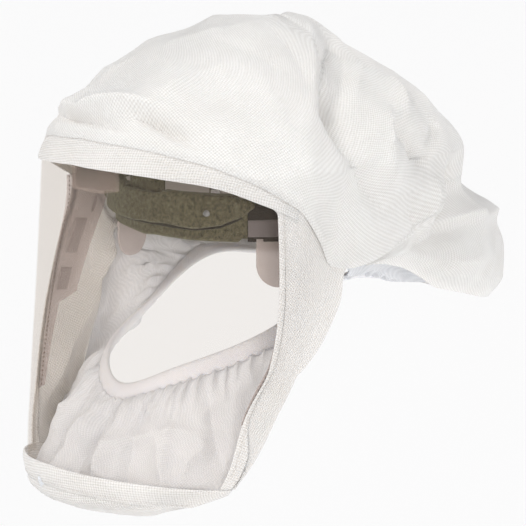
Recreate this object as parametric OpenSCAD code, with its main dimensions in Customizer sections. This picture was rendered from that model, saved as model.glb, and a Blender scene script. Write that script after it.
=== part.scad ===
/* [Hood] */
// Width of the hood at the brow
hood_w = 230; // [222:1:245]
// Height of the crown above the headband centre
crown_h = 115; // [113:1:120]
// Drop of the chin hem below the headband centre
chin_drop = 188; // [186:1:192]
// Reach of the brow in front of the headband centre
brow_reach = 155; // [150:1:162]
// Reach of the nape behind the headband centre
nape_reach = 182; // [179:1:188]
// Thickness of each fabric panel
fabric_t = 1.2; // [1:0.1:1.6]
// Gap left along each sewn seam
seam_gap = 0.6; // [0.4:0.1:1]

/* [Visor] */
// Thickness of the clear visor sheet
visor_t = 0.8; // [0.6:0.1:1.2]
// Width of the frame strip around the visor
frame_w = 13; // [10:0.5:16]
// Overlap of the visor sheet behind its frame
visor_lap = 4; // [3:0.5:6]

/* [Neck seal] */
// Half width of the elastic neck opening
neck_rx = 68; // [62:1:72]
// Half length of the elastic neck opening
neck_ry = 108; // [100:1:110]
// Radius of the gathered elastic edge
elastic_r = 4; // [3:0.5:5]

/* [Head suspension] */
// Half width of the headband
band_rx = 80; // [76:1:82]
// Depth of the headband's front and rear curves
band_ry = 65; // [60:1:66]
// Height of the headband
band_h = 24; // [20:1:26]
// Height of the adjusting straps
strap_h = 12; // [10:1:13]
// Width of the crown straps
crown_strap_w = 20; // [16:1:22]
// Rise of the crown straps above their straight legs
crown_rise = 45; // [40:1:45]

/* [Air supply] */
// Bore radius of the breathing tube inlet
inlet_r = 16.5; // [14:0.5:16.5]
// Downward tilt of the inlet axis, in degrees
inlet_tilt = 12; // [8:1:16]
// Width of the overhead air duct
duct_w = 48; // [40:1:50]
// Thickness of the overhead air duct
duct_t = 8; // [6:0.5:8]

/* [Hidden] */

// Levels of the hood, from the chin hem up to the apex
chin_z = -chin_drop;
jaw_z = -168;
cheek_z = -79;
ear_z = -30;
brow_z = 26;
apex_w = brow_z + 90;

// Outline of a horizontal section against its level: half width, front, widest point, back
HALF_WIDTH = [
    [chin_z, hood_w * 0.31], [jaw_z, hood_w * 0.382], [-121, hood_w * 0.43],
    [cheek_z, hood_w * 0.467], [ear_z, hood_w * 0.488], [brow_z, hood_w * 0.5]
];
FRONT = [
    [chin_z, 3 - brow_reach], [-180, -14 - brow_reach], [jaw_z, -18 - brow_reach],
    [-150, -17 - brow_reach], [-60, -6 - brow_reach], [brow_z, 1 - brow_reach]
];
MIDDLE = [[chin_z, -84], [-165, -78], [cheek_z, -54], [ear_z, -42], [brow_z, -32]];
BACK = [
    [-88, nape_reach - 6], [-60, nape_reach + 1], [-40, nape_reach - 3],
    [-19, nape_reach - 21], [3, nape_reach - 45], [brow_z, nape_reach - 51]
];
rear_squareness = 2.6;
apex_lean = 35;

// Edge of the face window: top and bottom level against the section angle
WINDOW_TOP = [[0, 28], [33, 24.5], [53, 17.5], [64, 9], [70, 4], [78, -6]];
WINDOW_BOTTOM = [[0, -157], [30, -159.5], [50, -163], [73, -168], [85, -170]];
// Upright edge of the window: place along Y against the level
WINDOW_SIDE = [[-175, -107], [-112, -90], [-90, -80], [-78, -78], [10, -78]];
WINDOW_SIDE_RIGHT = [
    [-175, -142], [-150, -137], [-112, -125], [-90, -116],
    [-66, -106], [-46, -97], [-30, -89], [-16, -82], [-4, -78.5], [10, -78]
];
// Seam between the crown and the panels below it: level against the section angle
CROWN_SEAM = [
    [0, 41], [33, 37.5], [53, 30.5], [64, 21], [70, 14], [77, 5], [84, -12], [92.6, -34],
    [102, -22], [115, -2], [140, 8], [180, 10]
];
// Lower edge of the chin band against the section angle
CHIN_SEAM = [[0, -170.5], [30, -173], [50, -176.5], [66, -179.5]];
// Hem: section angle, level and matching place around the neck opening
HEM = [
    [0, chin_z, 0], [30, chin_z, 24], [50, -185, 38], [66, -180, 48], [77, -174, 55],
    [84, -148, 66], [88, -121, 76], [91, -86, 86], [92, -60, 92], [92.6, -36, 98],
    [102.4, -41, 106], [113, -60, 118], [132, -74, 135], [154, -83, 156], [180, -88, 180]
];
chin_corner = 4;
notch = 9;
hem_end = 14;
// Level of the neck opening against the angle around it
NECK_Z = [[0, -117], [36, -101], [70, -81], [100, -52], [122, -54], [180, -62]];
neck_y = -10;

seam_step = 6;
visor_depth = fabric_t + 0.8;
stay_depth = visor_depth + visor_t + 0.6;
stay_t = 1;
seal_depth = 2.6;

band_t = 2;
band_front = -30;
band_back = 34;
band_z = -18;
band_end = 20;
pad_top = 12;
patch_t = 1.2;
patch_start = 54.5;
anchor_off = band_t + patch_t;
anchor_t = 1.2;
strap_off = anchor_off + anchor_t + 0.6;
strap_t = 1.5;
strap_z = -13;
leg_gap = 0.4;
leg_t = 1.2;
leg_end = 34;
cross_y = 5;
keeper_z = 14;
keeper_h = 9;
front_lift = 8;

duct_depth = 8;
duct_wall = 1;
inlet_pos = [0, nape_reach - 1, -53];
socket_wall = 3;
collar_r = 28;

fabric_white = "whitesmoke";
felt_olive = "darkolivegreen";
strap_grey = "slategray";
hook_brown = "saddlebrown";
clear_tint = "lightcyan";
smoke_tint = "thistle";

// Linear blend from a to b
function mix(a, b, t) = a + (b - a) * t;
function unit(v) = v / norm(v);

// Index of the interval of table k that holds x
function span_of(k, x, i = 0) = i >= len(k) - 2 || x < k[i + 1][0] ? i : span_of(k, x, i + 1);

// Slope of table k at its row i, weighted by the two neighbouring intervals
function slope_at(k, i) =
    i == 0 ? (k[1][1] - k[0][1]) / (k[1][0] - k[0][0])
    : i == len(k) - 1 ? (k[i][1] - k[i - 1][1]) / (k[i][0] - k[i - 1][0])
    : let (
        below = k[i][0] - k[i - 1][0],
        above = k[i + 1][0] - k[i][0],
        s_below = (k[i][1] - k[i - 1][1]) / below,
        s_above = (k[i + 1][1] - k[i][1]) / above
    ) (s_below * above + s_above * below) / (above + below);

// Smooth curve through the rows of table k, held level past both ends
function curve(k, x) =
    let (
        c = min(max(x, k[0][0]), k[len(k) - 1][0]),
        i = span_of(k, c),
        h = k[i + 1][0] - k[i][0],
        t = (c - k[i][0]) / h,
        a = slope_at(k, i) * h,
        b = slope_at(k, i + 1) * h
    )
    (2 * t^3 - 3 * t^2 + 1) * k[i][1] + (t^3 - 2 * t^2 + t) * a
    + (3 * t^2 - 2 * t^3) * k[i + 1][1] + (t^3 - t^2) * b;

// Point of the hood at section angle a and level w; above the brow, w runs up the dome in degrees
function hood(a, w) =
    let (
        z = min(w, brow_z),
        rise = min(max(w - brow_z, 0), 90),
        n = 1.55 + 0.32 * cos(a),
        h = pow(sin(rise), 2 / n),
        s = pow(cos(rise), 2 / n),
        mid = curve(MIDDLE, z),
        reach = cos(a) > 0 ? mid - curve(FRONT, z) : curve(BACK, z) - mid,
        p = cos(a) > 0 ? 1 : 2 / rear_squareness,
        along = sign(cos(a)) * pow(abs(cos(a)), p),
        across = sign(sin(a)) * pow(abs(sin(a)), p)
    )
    [curve(HALF_WIDTH, z) * across * s, mid + apex_lean * h - reach * along * s, z + (crown_h - brow_z) * h];

// Outward direction of the hood surface
function hood_out(a, w) =
    w > apex_w - 2 ? [0, 0, 1]
    : let (
        e = 1.5,
        du = hood(a + e, w) - hood(a - e, w),
        dv = hood(a, min(w + e, apex_w)) - hood(a, w - e)
    ) unit(cross(du, dv));

// Hood surface moved inward by depth
function inside(a, w, depth) = hood(a, w) - depth * hood_out(a, w);

// Section angle at which the hood passes the place y at level z
function angle_at(y, z) =
    let (mid = curve(MIDDLE, z))
    y < mid ? acos((mid - y) / (mid - curve(FRONT, z)))
    : 180 - acos(pow((y - mid) / (curve(BACK, z) - mid), rear_squareness / 2));

function column(table, c) = [for (i = [0 : len(table) - 1]) [i, table[i][c]]];
HEM_ANGLE = column(HEM, 0);
HEM_LEVEL = column(HEM, 1);
HEM_NECK = column(HEM, 2);
// Section angle of the window's side edge; the wearer's right edge runs further forward as it goes down
function window_edge(z, side) = angle_at(curve(side > 0 ? WINDOW_SIDE : WINDOW_SIDE_RIGHT, z), z);
// Angle that a strip of the frame's width covers next to the window
strip_angle = frame_w / 1.95;
// Angle left between a window binding and the panel behind it
panel_gap = 1;

// Closed shell between two grids of points, each a list of rows
module shell(outer, inner) {
    rows = len(outer);
    cols = len(outer[0]);
    last = rows * cols;
    function at(i, j, k) = k * last + i * cols + j;
    function quad(a, b, c, d) = [[a, b, c], [a, c, d]];
    faces = [
        for (i = [0 : rows - 2], j = [0 : cols - 2], k = [0, 1])
            each k == 0
                ? quad(at(i, j, 0), at(i + 1, j, 0), at(i + 1, j + 1, 0), at(i, j + 1, 0))
                : quad(at(i, j, 1), at(i, j + 1, 1), at(i + 1, j + 1, 1), at(i + 1, j, 1)),
        for (i = [0 : rows - 2])
            each concat(
                quad(at(i, 0, 0), at(i, 0, 1), at(i + 1, 0, 1), at(i + 1, 0, 0)),
                quad(at(i, cols - 1, 0), at(i + 1, cols - 1, 0), at(i + 1, cols - 1, 1), at(i, cols - 1, 1))
            ),
        for (j = [0 : cols - 2])
            each concat(
                quad(at(0, j, 0), at(0, j + 1, 0), at(0, j + 1, 1), at(0, j, 1)),
                quad(at(rows - 1, j, 0), at(rows - 1, j, 1), at(rows - 1, j + 1, 1), at(rows - 1, j + 1, 0))
            )
    ];
    polyhedron(points = [for (g = [outer, inner], row = g, p = row) p], faces = faces);
}

// Patch of the hood: place(u, v) gives [angle, level] for u from -1 to 1 and v from 0 to 1
module hood_patch(place, across, up, depth, thick) {
    function grid(d) = [
        for (j = [0 : up]) [
            for (i = [0 : across])
                let (q = place(2 * i / across - 1, j / up)) inside(q[0], q[1], d)
        ]
    ];
    shell(grid(depth), grid(depth + thick));
}

// Closed tube of radius r around a closed route of points
module closed_tube(route, r, sides) {
    n = len(route);
    function ring(i) =
        let (
            ahead = unit(route[(i + 1) % n] - route[(i + n - 1) % n]),
            side = unit(cross(ahead, [0, 0, 1])),
            up = cross(side, ahead)
        )
        [for (k = [0 : sides - 1])
            let (a = 360 * k / sides) route[i] + r * (cos(a) * side + sin(a) * up)];
    faces = [
        for (i = [0 : n - 1], k = [0 : sides - 1])
            let (
                p = i * sides + k,
                q = i * sides + (k + 1) % sides,
                s = ((i + 1) % n) * sides + k,
                t = ((i + 1) % n) * sides + (k + 1) % sides
            )
            each [[p, q, t], [p, t, s]]
    ];
    polyhedron(points = [for (i = [0 : n - 1]) each ring(i)], faces = faces);
}

// Dome of the hood, closed over the apex
module crown_panel() {
    cols = 48;
    rows = 10;
    function row(v, d) = [
        for (i = [0 : cols - 1])
            let (a = 360 * i / cols - 180)
            inside(a, mix(curve(CROWN_SEAM, abs(a)) + seam_gap, apex_w, v), d)
    ];
    function side(d) = concat([for (j = [0 : rows - 1]) each row(j / rows, d)], [inside(0, apex_w, d)]);
    count = rows * cols + 1;
    function at(j, i, k) = k * count + j * cols + i % cols;
    tops = [count - 1, 2 * count - 1];
    faces = [
        for (j = [0 : rows - 2], i = [0 : cols - 1])
            each [
                [at(j, i, 0), at(j + 1, i, 0), at(j + 1, i + 1, 0)],
                [at(j, i, 0), at(j + 1, i + 1, 0), at(j, i + 1, 0)],
                [at(j, i, 1), at(j + 1, i + 1, 1), at(j + 1, i, 1)],
                [at(j, i, 1), at(j, i + 1, 1), at(j + 1, i + 1, 1)]
            ],
        for (i = [0 : cols - 1])
            each [
                [at(rows - 1, i, 0), tops[0], at(rows - 1, i + 1, 0)],
                [at(rows - 1, i, 1), at(rows - 1, i + 1, 1), tops[1]],
                [at(0, i, 0), at(0, i + 1, 0), at(0, i + 1, 1)],
                [at(0, i, 0), at(0, i + 1, 1), at(0, i, 1)]
            ]
    ];
    color(fabric_white) polyhedron(points = concat(side(0), side(fabric_t)), faces = faces);
}

// Sheet over the nape, at the given depth
module skirt_sheet(depth, thick) {
    start = notch + 0.35;
    hood_patch(
        function(u, v)
            let (
                t = mix(hem_end, start, abs(u)),
                a = curve(HEM_ANGLE, t)
            )
            [u < 0 ? a : 360 - a, mix(curve(HEM_LEVEL, t), curve(CROWN_SEAM, a) - seam_gap, v)],
        28, 6, depth, thick
    );
}

// Loose skirt over the nape, with the hole for the inlet
module rear_skirt() {
    color(fabric_white) difference() {
        skirt_sheet(0, fabric_t);
        at_inlet() translate([0, 0, -25]) cylinder(h = 50, r = socket_r + 1.5, $fn = 48);
    }
}

// Cheek panel between the window strip, the crown seam and the hem; side is 1 for the wearer's left
module side_panel(side) {
    color(fabric_white) hood_patch(
        function(u, v)
            let (
                t = (1 + side * u) / 2,
                front_z = mix(side > 0 ? -146 : -160, 5, v),
                front_a = window_edge(front_z, side) + strip_angle + panel_gap,
                hem_t = mix(chin_corner + (side > 0 ? 1.05 : 0.25), notch - 0.05, v),
                a = mix(front_a, curve(HEM_ANGLE, hem_t), t),
                z = mix(front_z, curve(HEM_LEVEL, hem_t), t)
            )
            [side * a, min(z, curve(CROWN_SEAM, a) - seam_gap)],
        6, 24, 0, fabric_t
    );
}

// Frame strip above the window
module brow_band() {
    reach = window_edge(5, 1) + strip_angle;
    color(fabric_white) hood_patch(
        function(u, v) [
            u * reach,
            mix(curve(WINDOW_TOP, abs(u) * reach), curve(CROWN_SEAM, abs(u) * reach) - seam_gap, v)
        ],
        26, 2, 0, fabric_t
    );
}

// Frame strip below the window
module chin_band() {
    reach = 79;
    function low(a) = a < 66 ? curve(CHIN_SEAM, a) : mix(curve(CHIN_SEAM, 66), -173, (a - 66) / 13);
    color(fabric_white) hood_patch(
        function(u, v) [
            u * reach,
            mix(low(abs(u) * reach), curve(WINDOW_BOTTOM, abs(u) * reach) - seam_gap, v)
        ],
        26, 2, 0, fabric_t
    );
}

// Chin panel, curling back from the chin band to the hem
module chin_panel() {
    reach = 63;
    function hem_at(a) = lookup(a, [for (row = HEM) [row[0], row[1]]]);
    color(fabric_white) hood_patch(
        function(u, v) [
            u * reach,
            mix(hem_at(abs(u) * reach), curve(CHIN_SEAM, abs(u) * reach) - seam_gap, v)
        ],
        22, 3, 0, fabric_t
    );
}

// Upright frame strip beside the window
module visor_binding(side) {
    color(fabric_white) hood_patch(
        function(u, v)
            let (
                z = mix(-167, 3, v),
                a = window_edge(z, side) + strip_angle * (1 + side * u) / 2
            )
            [side * a, mix(curve(WINDOW_BOTTOM, a) + seam_gap, curve(WINDOW_TOP, a) - seam_gap, v)],
        2, 28, 0, fabric_t
    );
}

// Clear sheet behind the frame strips
module visor() {
    color(clear_tint, 0.4) hood_patch(
        function(u, v)
            let (
                z = mix(-170, 8, v),
                a = u * (window_edge(z, u) + visor_lap / 1.95)
            )
            [a, mix(curve(WINDOW_BOTTOM, abs(a)) - visor_lap, curve(WINDOW_TOP, abs(a)) + visor_lap, v)],
        26, 10, visor_depth, visor_t
    );
}

// Translucent stay behind the cheek, its rear edge stepped
module visor_stay(side) {
    steps = [[4, 7], [-4, 16], [-18, 16], [-19, 10], [-48, 10], [-49, 12], [-76, 11], [-80, 6], [-122, 4]];
    color(smoke_tint, 0.6) hood_patch(
        function(u, v)
            let (
                row = steps[len(steps) - 1 - round(v * (len(steps) - 1))],
                start = window_edge(row[0], side) - 1
            )
            [side * (start + row[1] * (1 + side * u) / 2), row[0]],
        2, 8, stay_depth, stay_t
    );
}

function neck(t) =
    let (a = t) [
        neck_rx * sin(a),
        neck_y - neck_ry * cos(a),
        curve(NECK_Z, a > 180 ? 360 - a : a)
    ];

// Gathered fabric between hem and neck elastic, from hem place t0 to t1 on both sides of the middle
module seal(t0, t1, across, up, bulge) {
    edge_gap = 1.9;
    function spot(u, v) =
        let (
            t = mix(t0, t1, abs(u)),
            s = sign(u),
            a = curve(HEM_ANGLE, t),
            outer = inside(a, curve(HEM_LEVEL, t) + 2, seal_depth),
            ring = neck(curve(HEM_NECK, t)),
            edge = ring + (elastic_r + edge_gap) * unit(outer - ring),
            p = mix(outer, edge, v) + bulge * 4 * v * (1 - v) * [0, -cos(a), -0.4 * abs(cos(a))]
        )
        [s < 0 ? -p[0] : p[0], p[1], p[2]];
    function out(u, v) =
        let (
            e = 0.02,
            du = spot(min(u + e, 1), v) - spot(max(u - e, -1), v),
            dv = spot(u, min(v + e, 1)) - spot(u, max(v - e, 0))
        ) unit(cross(du, dv));
    turn = t0 < t1 ? 1 : -1;
    function grid(d) = [
        for (j = [0 : up]) [
            for (i = [0 : across])
                let (u = turn * (2 * i / across - 1), v = j / up)
                spot(u, v) - d * turn * out(u, v)
        ]
    ];
    color(fabric_white) shell(grid(0), grid(fabric_t));
}

module face_seal() {
    seal(0, notch - 0.2, 44, 5, 7);
}

module nape_seal() {
    seal(hem_end, notch + 0.5, 28, 4, -6);
}

module neck_elastic() {
    color(fabric_white) closed_tube([for (i = [0 : 47]) neck(i * 7.5)], elastic_r, 8);
}

// Curve of the headband's front half, moved outward by off, with its two ends drawn back to y = finish
function front_route(off, finish) = concat(
    [[-(band_rx + off), finish]],
    [for (a = [-90 : seam_step : 90]) [(band_rx + off) * sin(a), band_front - (band_ry + off) * cos(a)]],
    [[band_rx + off, finish]]
);

// Curve of the headband's rear half, with its two ends drawn forward to y = finish
function rear_route(off, finish) = concat(
    [[band_rx + off, finish]],
    [for (a = [-90 : seam_step : 90]) [-(band_rx + off) * sin(a), band_back + (band_ry + off) * cos(a)]],
    [[-(band_rx + off), finish]]
);

function reverse(list) = [for (i = [len(list) - 1 : -1 : 0]) list[i]];

// Point of the front curve at angle a, on the straight run between two of its corners
function front_point(off, a) =
    let (
        start = seam_step * floor(a / seam_step),
        t = (a - start) / seam_step,
        p = [for (c = [start, start + seam_step])
            [(band_rx + off) * sin(c), band_front - (band_ry + off) * cos(c)]]
    ) mix(p[0], p[1], t);

// Part of the front curve between two angles
function arc_route(off, a0, a1) = [
    front_point(off, a0),
    for (a = [seam_step * (floor(a0 / seam_step) + 1) : seam_step : a1 - 0.01]) front_point(off, a),
    front_point(off, a1)
];

module ribbon(outer, inner, z, h) {
    translate([0, 0, z]) linear_extrude(h) polygon(concat(outer, reverse(inner)));
}

module arc_band(off0, off1, a0, a1, z, h) {
    ribbon(arc_route(off1, a0, a1), arc_route(off0, a0, a1), z, h);
}

// Places the three crown strap anchors: front, wearer's left, wearer's right
module at_anchors() {
    translate([0, band_front - band_ry, front_lift]) rotate(180) children();
    translate([band_rx, cross_y, 0]) rotate(-90) children();
    translate([-band_rx, cross_y, 0]) rotate(90) children();
}

tang_w = crown_strap_w + 6;
tang_top = keeper_z + keeper_h;

module front_headband() {
    front_half = 2 * seam_step;
    color("dimgray") union() {
        ribbon(front_route(band_t, band_end), front_route(0, band_end), band_z, band_h);
        arc_band(0, band_t, -front_half, front_half, band_z, tang_top + front_lift - band_z);
        for (s = [0, 1])
            mirror([s, 0, 0]) translate([band_rx, cross_y - tang_w / 2, band_z])
                cube([band_t, tang_w, tang_top - band_z]);
    }
}

// Staples that hold the crown straps against the headband's three tangs
module crown_keepers() {
    rib = 2;
    slot_t = leg_t + 2 * leg_gap;
    color("dimgray") at_anchors() translate([0, band_t, keeper_z]) difference() {
        translate([-tang_w / 2, 0, 0]) cube([tang_w, slot_t + rib, keeper_h]);
        translate([-tang_w / 2 + rib, -1, -1]) cube([tang_w - 2 * rib, slot_t + 1, keeper_h + 2]);
    }
}

// Felt folded over the headband in two lobes, open around the front tang
module comfort_pad() {
    reach = 9 * seam_step;
    fold_start = 2 * seam_step;
    fold_z = 8;
    lobe_t = 4;
    inner_t = 5;
    inner_low = -21;
    outer_low = -9;
    color(felt_olive) union() {
        arc_band(-inner_t, 0, -reach, reach, inner_low, pad_top - inner_low);
        for (s = [0, 1])
            mirror([s, 0, 0])
                arc_band(-inner_t, band_t + lobe_t, fold_start, reach, fold_z, pad_top - fold_z);
        arc_band(band_t, band_t + lobe_t, -reach, reach, outer_low, fold_z - outer_low);
    }
}

// Places a child on the headband's front curve at angle a, local +Z pointing outward
module on_band(a, off, z) {
    translate([(band_rx + off) * sin(a), band_front - (band_ry + off) * cos(a), z])
        rotate([0, 90, atan2(-band_rx * cos(a), band_ry * sin(a))]) children();
}

module pad_rivets() {
    for (s = [0, 1])
        mirror([s, 0, 0]) color("silver") on_band(36, band_t + 4.1, -3)
            rotate_extrude($fn = 32) polygon([[0, 0], [3.2, 0], [3.2, 0.7], [2.2, 1.5], [0, 1.9]]);
}

// Strip on the headband's side from angle start of the front curve back to y = finish
module side_strip(start, finish, off0, off1, z, h) {
    ribbon(
        concat(arc_route(off1, start, 90), [[band_rx + off1, finish]]),
        concat(arc_route(off0, start, 90), [[band_rx + off0, finish]]),
        z, h
    );
}

// Hook-and-loop patch on the side of the headband
module hook_patch(side) {
    color(hook_brown) mirror([side < 0 ? 1 : 0, 0, 0])
        side_strip(patch_start, -12, band_t, anchor_off, band_z, band_h - 1);
}

// Webbing pressed onto the hook patch, where the sliding strap takes over
module strap_anchor(side) {
    color(strap_grey) mirror([side < 0 ? 1 : 0, 0, 0])
        side_strip(patch_start + 0.5, -16, anchor_off, anchor_off + anchor_t, strap_z, strap_h);
}

// Clip along the headband's upper edge above the temple
module side_bracket(side) {
    color("lightgray") mirror([side < 0 ? 1 : 0, 0, 0])
        side_strip(patch_start + 2, -26, 0, band_t + 1, band_z + band_h, 5);
}

// Translucent tab that hangs from the headband's lower edge beside the temple
module temple_tab(side) {
    tab_w = 34;
    tab_angle = 73;
    drop = 31;
    corner_r = 15;
    tab_t = 1.4;
    color(smoke_tint, 0.7) mirror([side < 0 ? 1 : 0, 0, 0])
        on_band(tab_angle, 0.4, band_z) linear_extrude(tab_t) union() {
            translate([0, -tab_w / 2]) square([drop - corner_r, tab_w]);
            translate([0, corner_r - tab_w / 2]) square([drop, tab_w - 2 * corner_r]);
            for (s = [-1, 1])
                translate([drop - corner_r, s * (tab_w / 2 - corner_r)]) circle(r = corner_r, $fn = 48);
        }
}

// Sliding rear half of the headband, with its two straps
module rear_headband() {
    cradle_h = 26;
    straps_from = -28;
    color(strap_grey) union() {
        ribbon(rear_route(strap_off + strap_t, straps_from),
            rear_route(strap_off, straps_from), strap_z, strap_h);
        ribbon(rear_route(strap_off + strap_t, band_end + 14), rear_route(strap_off, band_end + 14),
            band_z - 2, cradle_h);
    }
}

module rear_pad() {
    pad_from = 30;
    color(felt_olive)
        ribbon(rear_route(strap_off, pad_from), rear_route(strap_off - 5, pad_from), band_z - 5, 32);
}

// Stitched hook end of each sliding strap
module strap_end(side) {
    color(hook_brown) mirror([side < 0 ? 1 : 0, 0, 0])
        translate([band_rx + strap_off + strap_t, -27, strap_z + 1]) cube([0.8, 16, strap_h - 2]);
}

// Arch of a crown strap in the plane (across, up): quarter curve from 90 degrees to a1, and its leg
function arch_route(reach, rise, off, a0, a1, leg) = concat(
    leg == 0 ? [] : [[reach + off, leg_end - leg]],
    [for (i = [0 : 16]) let (a = mix(a0, a1, i / 16))
        [(reach + off) * cos(a), leg_end + (rise + off) * sin(a)]]
);

leg_off = band_t + leg_gap;
front_run = -band_front + band_ry + cross_y + leg_off;
cross_run = band_rx + leg_off;

module crown_strap() {
    leg = leg_end - keeper_z;
    color(strap_grey) translate([crown_strap_w / 2, cross_y, 0]) rotate([90, 0, -90])
        linear_extrude(crown_strap_w)
        polygon(concat(
            arch_route(front_run, crown_rise, leg_t, 0, 97, leg),
            reverse(arch_route(front_run, crown_rise, 0, 0, 97, leg))
        ));
}

module cross_strap() {
    leg = leg_end - 4;
    rise = crown_rise + leg_t + 0.4;
    outer = arch_route(cross_run, rise, leg_t, 0, 90, leg);
    inner = arch_route(cross_run, rise, 0, 0, 90, leg);
    function flip(list) = [for (p = reverse(list)) [-p[0], p[1]]];
    color(strap_grey) translate([0, cross_y + crown_strap_w / 2, 0]) rotate([90, 0, 0])
        linear_extrude(crown_strap_w)
        polygon(concat(outer, flip(outer), reverse(concat(inner, flip(inner)))));
}

// Felt pad under the front half of the crown strap
module crown_pad() {
    pad_w = crown_strap_w + 10;
    color(felt_olive) translate([pad_w / 2, cross_y, 0]) rotate([90, 0, -90])
        linear_extrude(pad_w)
        polygon(concat(
            arch_route(front_run, crown_rise, -0.2, 40, 97, 0),
            reverse(arch_route(front_run, crown_rise, -4.2, 40, 97, 0))
        ));
}

// Felt pad under one half of the cross strap
module cross_pad(side) {
    pad_w = crown_strap_w + 6;
    rise = crown_rise + leg_t + 0.4;
    color(felt_olive) mirror([side < 0 ? 1 : 0, 0, 0])
        translate([0, cross_y + pad_w / 2, 0]) rotate([90, 0, 0])
        linear_extrude(pad_w)
        polygon(concat(
            arch_route(cross_run, rise, -0.2, 30, 76, 0),
            reverse(arch_route(cross_run, rise, -3.2, 30, 76, 0))
        ));
}

duct_from = 36;
duct_to = -23;

// Route of the duct under the crown, front to rear, at the given depth; more lengthens both its ends
function duct_route(depth, more) =
    let (
        front = [for (i = [0 : 12]) mix(duct_from, apex_w, i / 12)],
        rear = [for (i = [1 : 16]) mix(apex_w, duct_to, i / 16)],
        run = concat(
            more > 0 ? [inside(0, duct_from - more, depth)] : [],
            [for (w = front) inside(0, w, depth)],
            [for (w = rear) inside(180, w, depth)],
            more > 0 ? [inside(180, duct_to - more, depth)] : []
        ),
        cut = more < 0 ? 1 : 0
    )
    [for (i = [cut : len(run) - 1 - cut]) [run[i][1], run[i][2]]];

module duct_slab(width, d0, d1, more) {
    translate([-width / 2, 0, 0]) rotate([90, 0, 90]) linear_extrude(width)
        polygon(concat(duct_route(d0, more), reverse(duct_route(d1, more))));
}

module air_duct() {
    color("lightgray") difference() {
        duct_slab(duct_w, duct_depth, duct_depth + duct_t, 0);
        duct_slab(duct_w - 2 * duct_wall, duct_depth + duct_wall, duct_depth + duct_t - duct_wall, 4);
    }
}

module duct_spacer() {
    slack = 0.3;
    color("gainsboro") duct_slab(duct_w - 2 * (duct_wall + slack), duct_depth + duct_wall + slack,
        duct_depth + duct_t - duct_wall - slack, -1);
}

outlet_w = 30;
outlet_y = -142;
outlet_z = 11;
outlet_h = 17;
outlet_depth = 14;

// Translucent nozzle at the front end of the duct, open at the bottom
module air_outlet() {
    wall = 1.5;
    color(smoke_tint, 0.7) translate([-outlet_w / 2, outlet_y, outlet_z]) difference() {
        cube([outlet_w, outlet_depth, outlet_h]);
        translate([wall, wall, -1]) cube([outlet_w - 2 * wall, outlet_depth - 2 * wall, outlet_h - wall + 1]);
    }
}

module outlet_louvres() {
    count = 7;
    pitch = 3.6;
    color(smoke_tint) for (i = [0 : count - 1])
        translate([(i - (count - 1) / 2) * pitch - 0.4, outlet_y + 1.5, outlet_z + 1])
            cube([0.8, outlet_depth - 3, outlet_h - 4]);
}

// Local frame of the inlet: +Z runs out of the hood along the bore
module at_inlet() {
    translate(inlet_pos) rotate([-90 - inlet_tilt, 0, 0]) children();
}

plenum_top = 20;
plenum_low = -20;
plenum_w = 50;
plenum_near = -21;
plenum_far = -46;
plenum_wall = 2;
socket_r = inlet_r + socket_wall;
socket_inner = plenum_near - plenum_wall;
socket_reach = 11;

// Box that spreads the air from the socket into the duct's lower end
module inlet_plenum() {
    slack = 0.3;
    color("lightgray") difference() {
        at_inlet() difference() {
            translate([-plenum_w / 2, -plenum_top, plenum_far])
                cube([plenum_w, plenum_top - plenum_low, plenum_near - plenum_far]);
            translate([-plenum_w / 2 + plenum_wall, -plenum_top + plenum_wall, plenum_far + plenum_wall])
                cube([
                    plenum_w - 2 * plenum_wall, plenum_top - plenum_low - 2 * plenum_wall,
                    plenum_near - plenum_far - 2 * plenum_wall
                ]);
            translate([0, 0, socket_inner - 1]) cylinder(h = plenum_wall + 2, r = socket_r + 0.1, $fn = 64);
        }
        duct_slab(duct_w + 2 * slack, duct_depth - slack, duct_depth + duct_t + slack, 0);
    }
}

// Tube that takes the breathing tube's connector, with a bead at its mouth
module inlet_socket() {
    color("gray") at_inlet() difference() {
        union() {
            translate([0, 0, socket_inner]) cylinder(h = socket_reach - socket_inner, r = socket_r, $fn = 96);
            translate([0, 0, socket_reach - 2.5]) cylinder(h = 2.5, r = socket_r + 1.2, $fn = 96);
        }
        translate([0, 0, socket_inner - 1])
            cylinder(h = socket_reach - socket_inner + 2, r = inlet_r, $fn = 96);
    }
}

// Ring cut from a sheet parallel to the skirt, around the socket
module skirt_ring(depth, thick, r) {
    intersection() {
        skirt_sheet(depth, thick);
        at_inlet() difference() {
            translate([0, 0, -25]) cylinder(h = 50, r = r, $fn = 64);
            translate([0, 0, -26]) cylinder(h = 52, r = socket_r + 0.1, $fn = 64);
        }
    }
}

// Rubber collar on the outside of the skirt
module inlet_gasket() {
    color("dimgray") skirt_ring(-1.3, 1.2, collar_r);
}

// Ring that holds the skirt against the collar from inside
module inlet_clamp_ring() {
    color("gray") skirt_ring(fabric_t + 0.1, 1.2, collar_r - 2);
}

crown_panel();
rear_skirt();
side_panel(1);  // side_panel_left
side_panel(-1);  // side_panel_right
brow_band();
chin_band();
chin_panel();
visor_binding(1);  // visor_binding_left
visor_binding(-1);  // visor_binding_right
visor();
visor_stay(1);  // visor_stay_left
visor_stay(-1);  // visor_stay_right
face_seal();
nape_seal();
neck_elastic();
front_headband();
comfort_pad();
pad_rivets();
hook_patch(1);  // hook_patch_left
hook_patch(-1);  // hook_patch_right
strap_anchor(1);  // strap_anchor_left
strap_anchor(-1);  // strap_anchor_right
side_bracket(1);  // side_bracket_left
side_bracket(-1);  // side_bracket_right
temple_tab(1);  // temple_tab_left
temple_tab(-1);  // temple_tab_right
crown_keepers();
rear_headband();
rear_pad();
strap_end(1);  // strap_end_left
strap_end(-1);  // strap_end_right
crown_strap();
cross_strap();
crown_pad();
cross_pad(1);  // cross_pad_left
cross_pad(-1);  // cross_pad_right
air_outlet();
outlet_louvres();
air_duct();
duct_spacer();
inlet_plenum();
inlet_socket();
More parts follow.
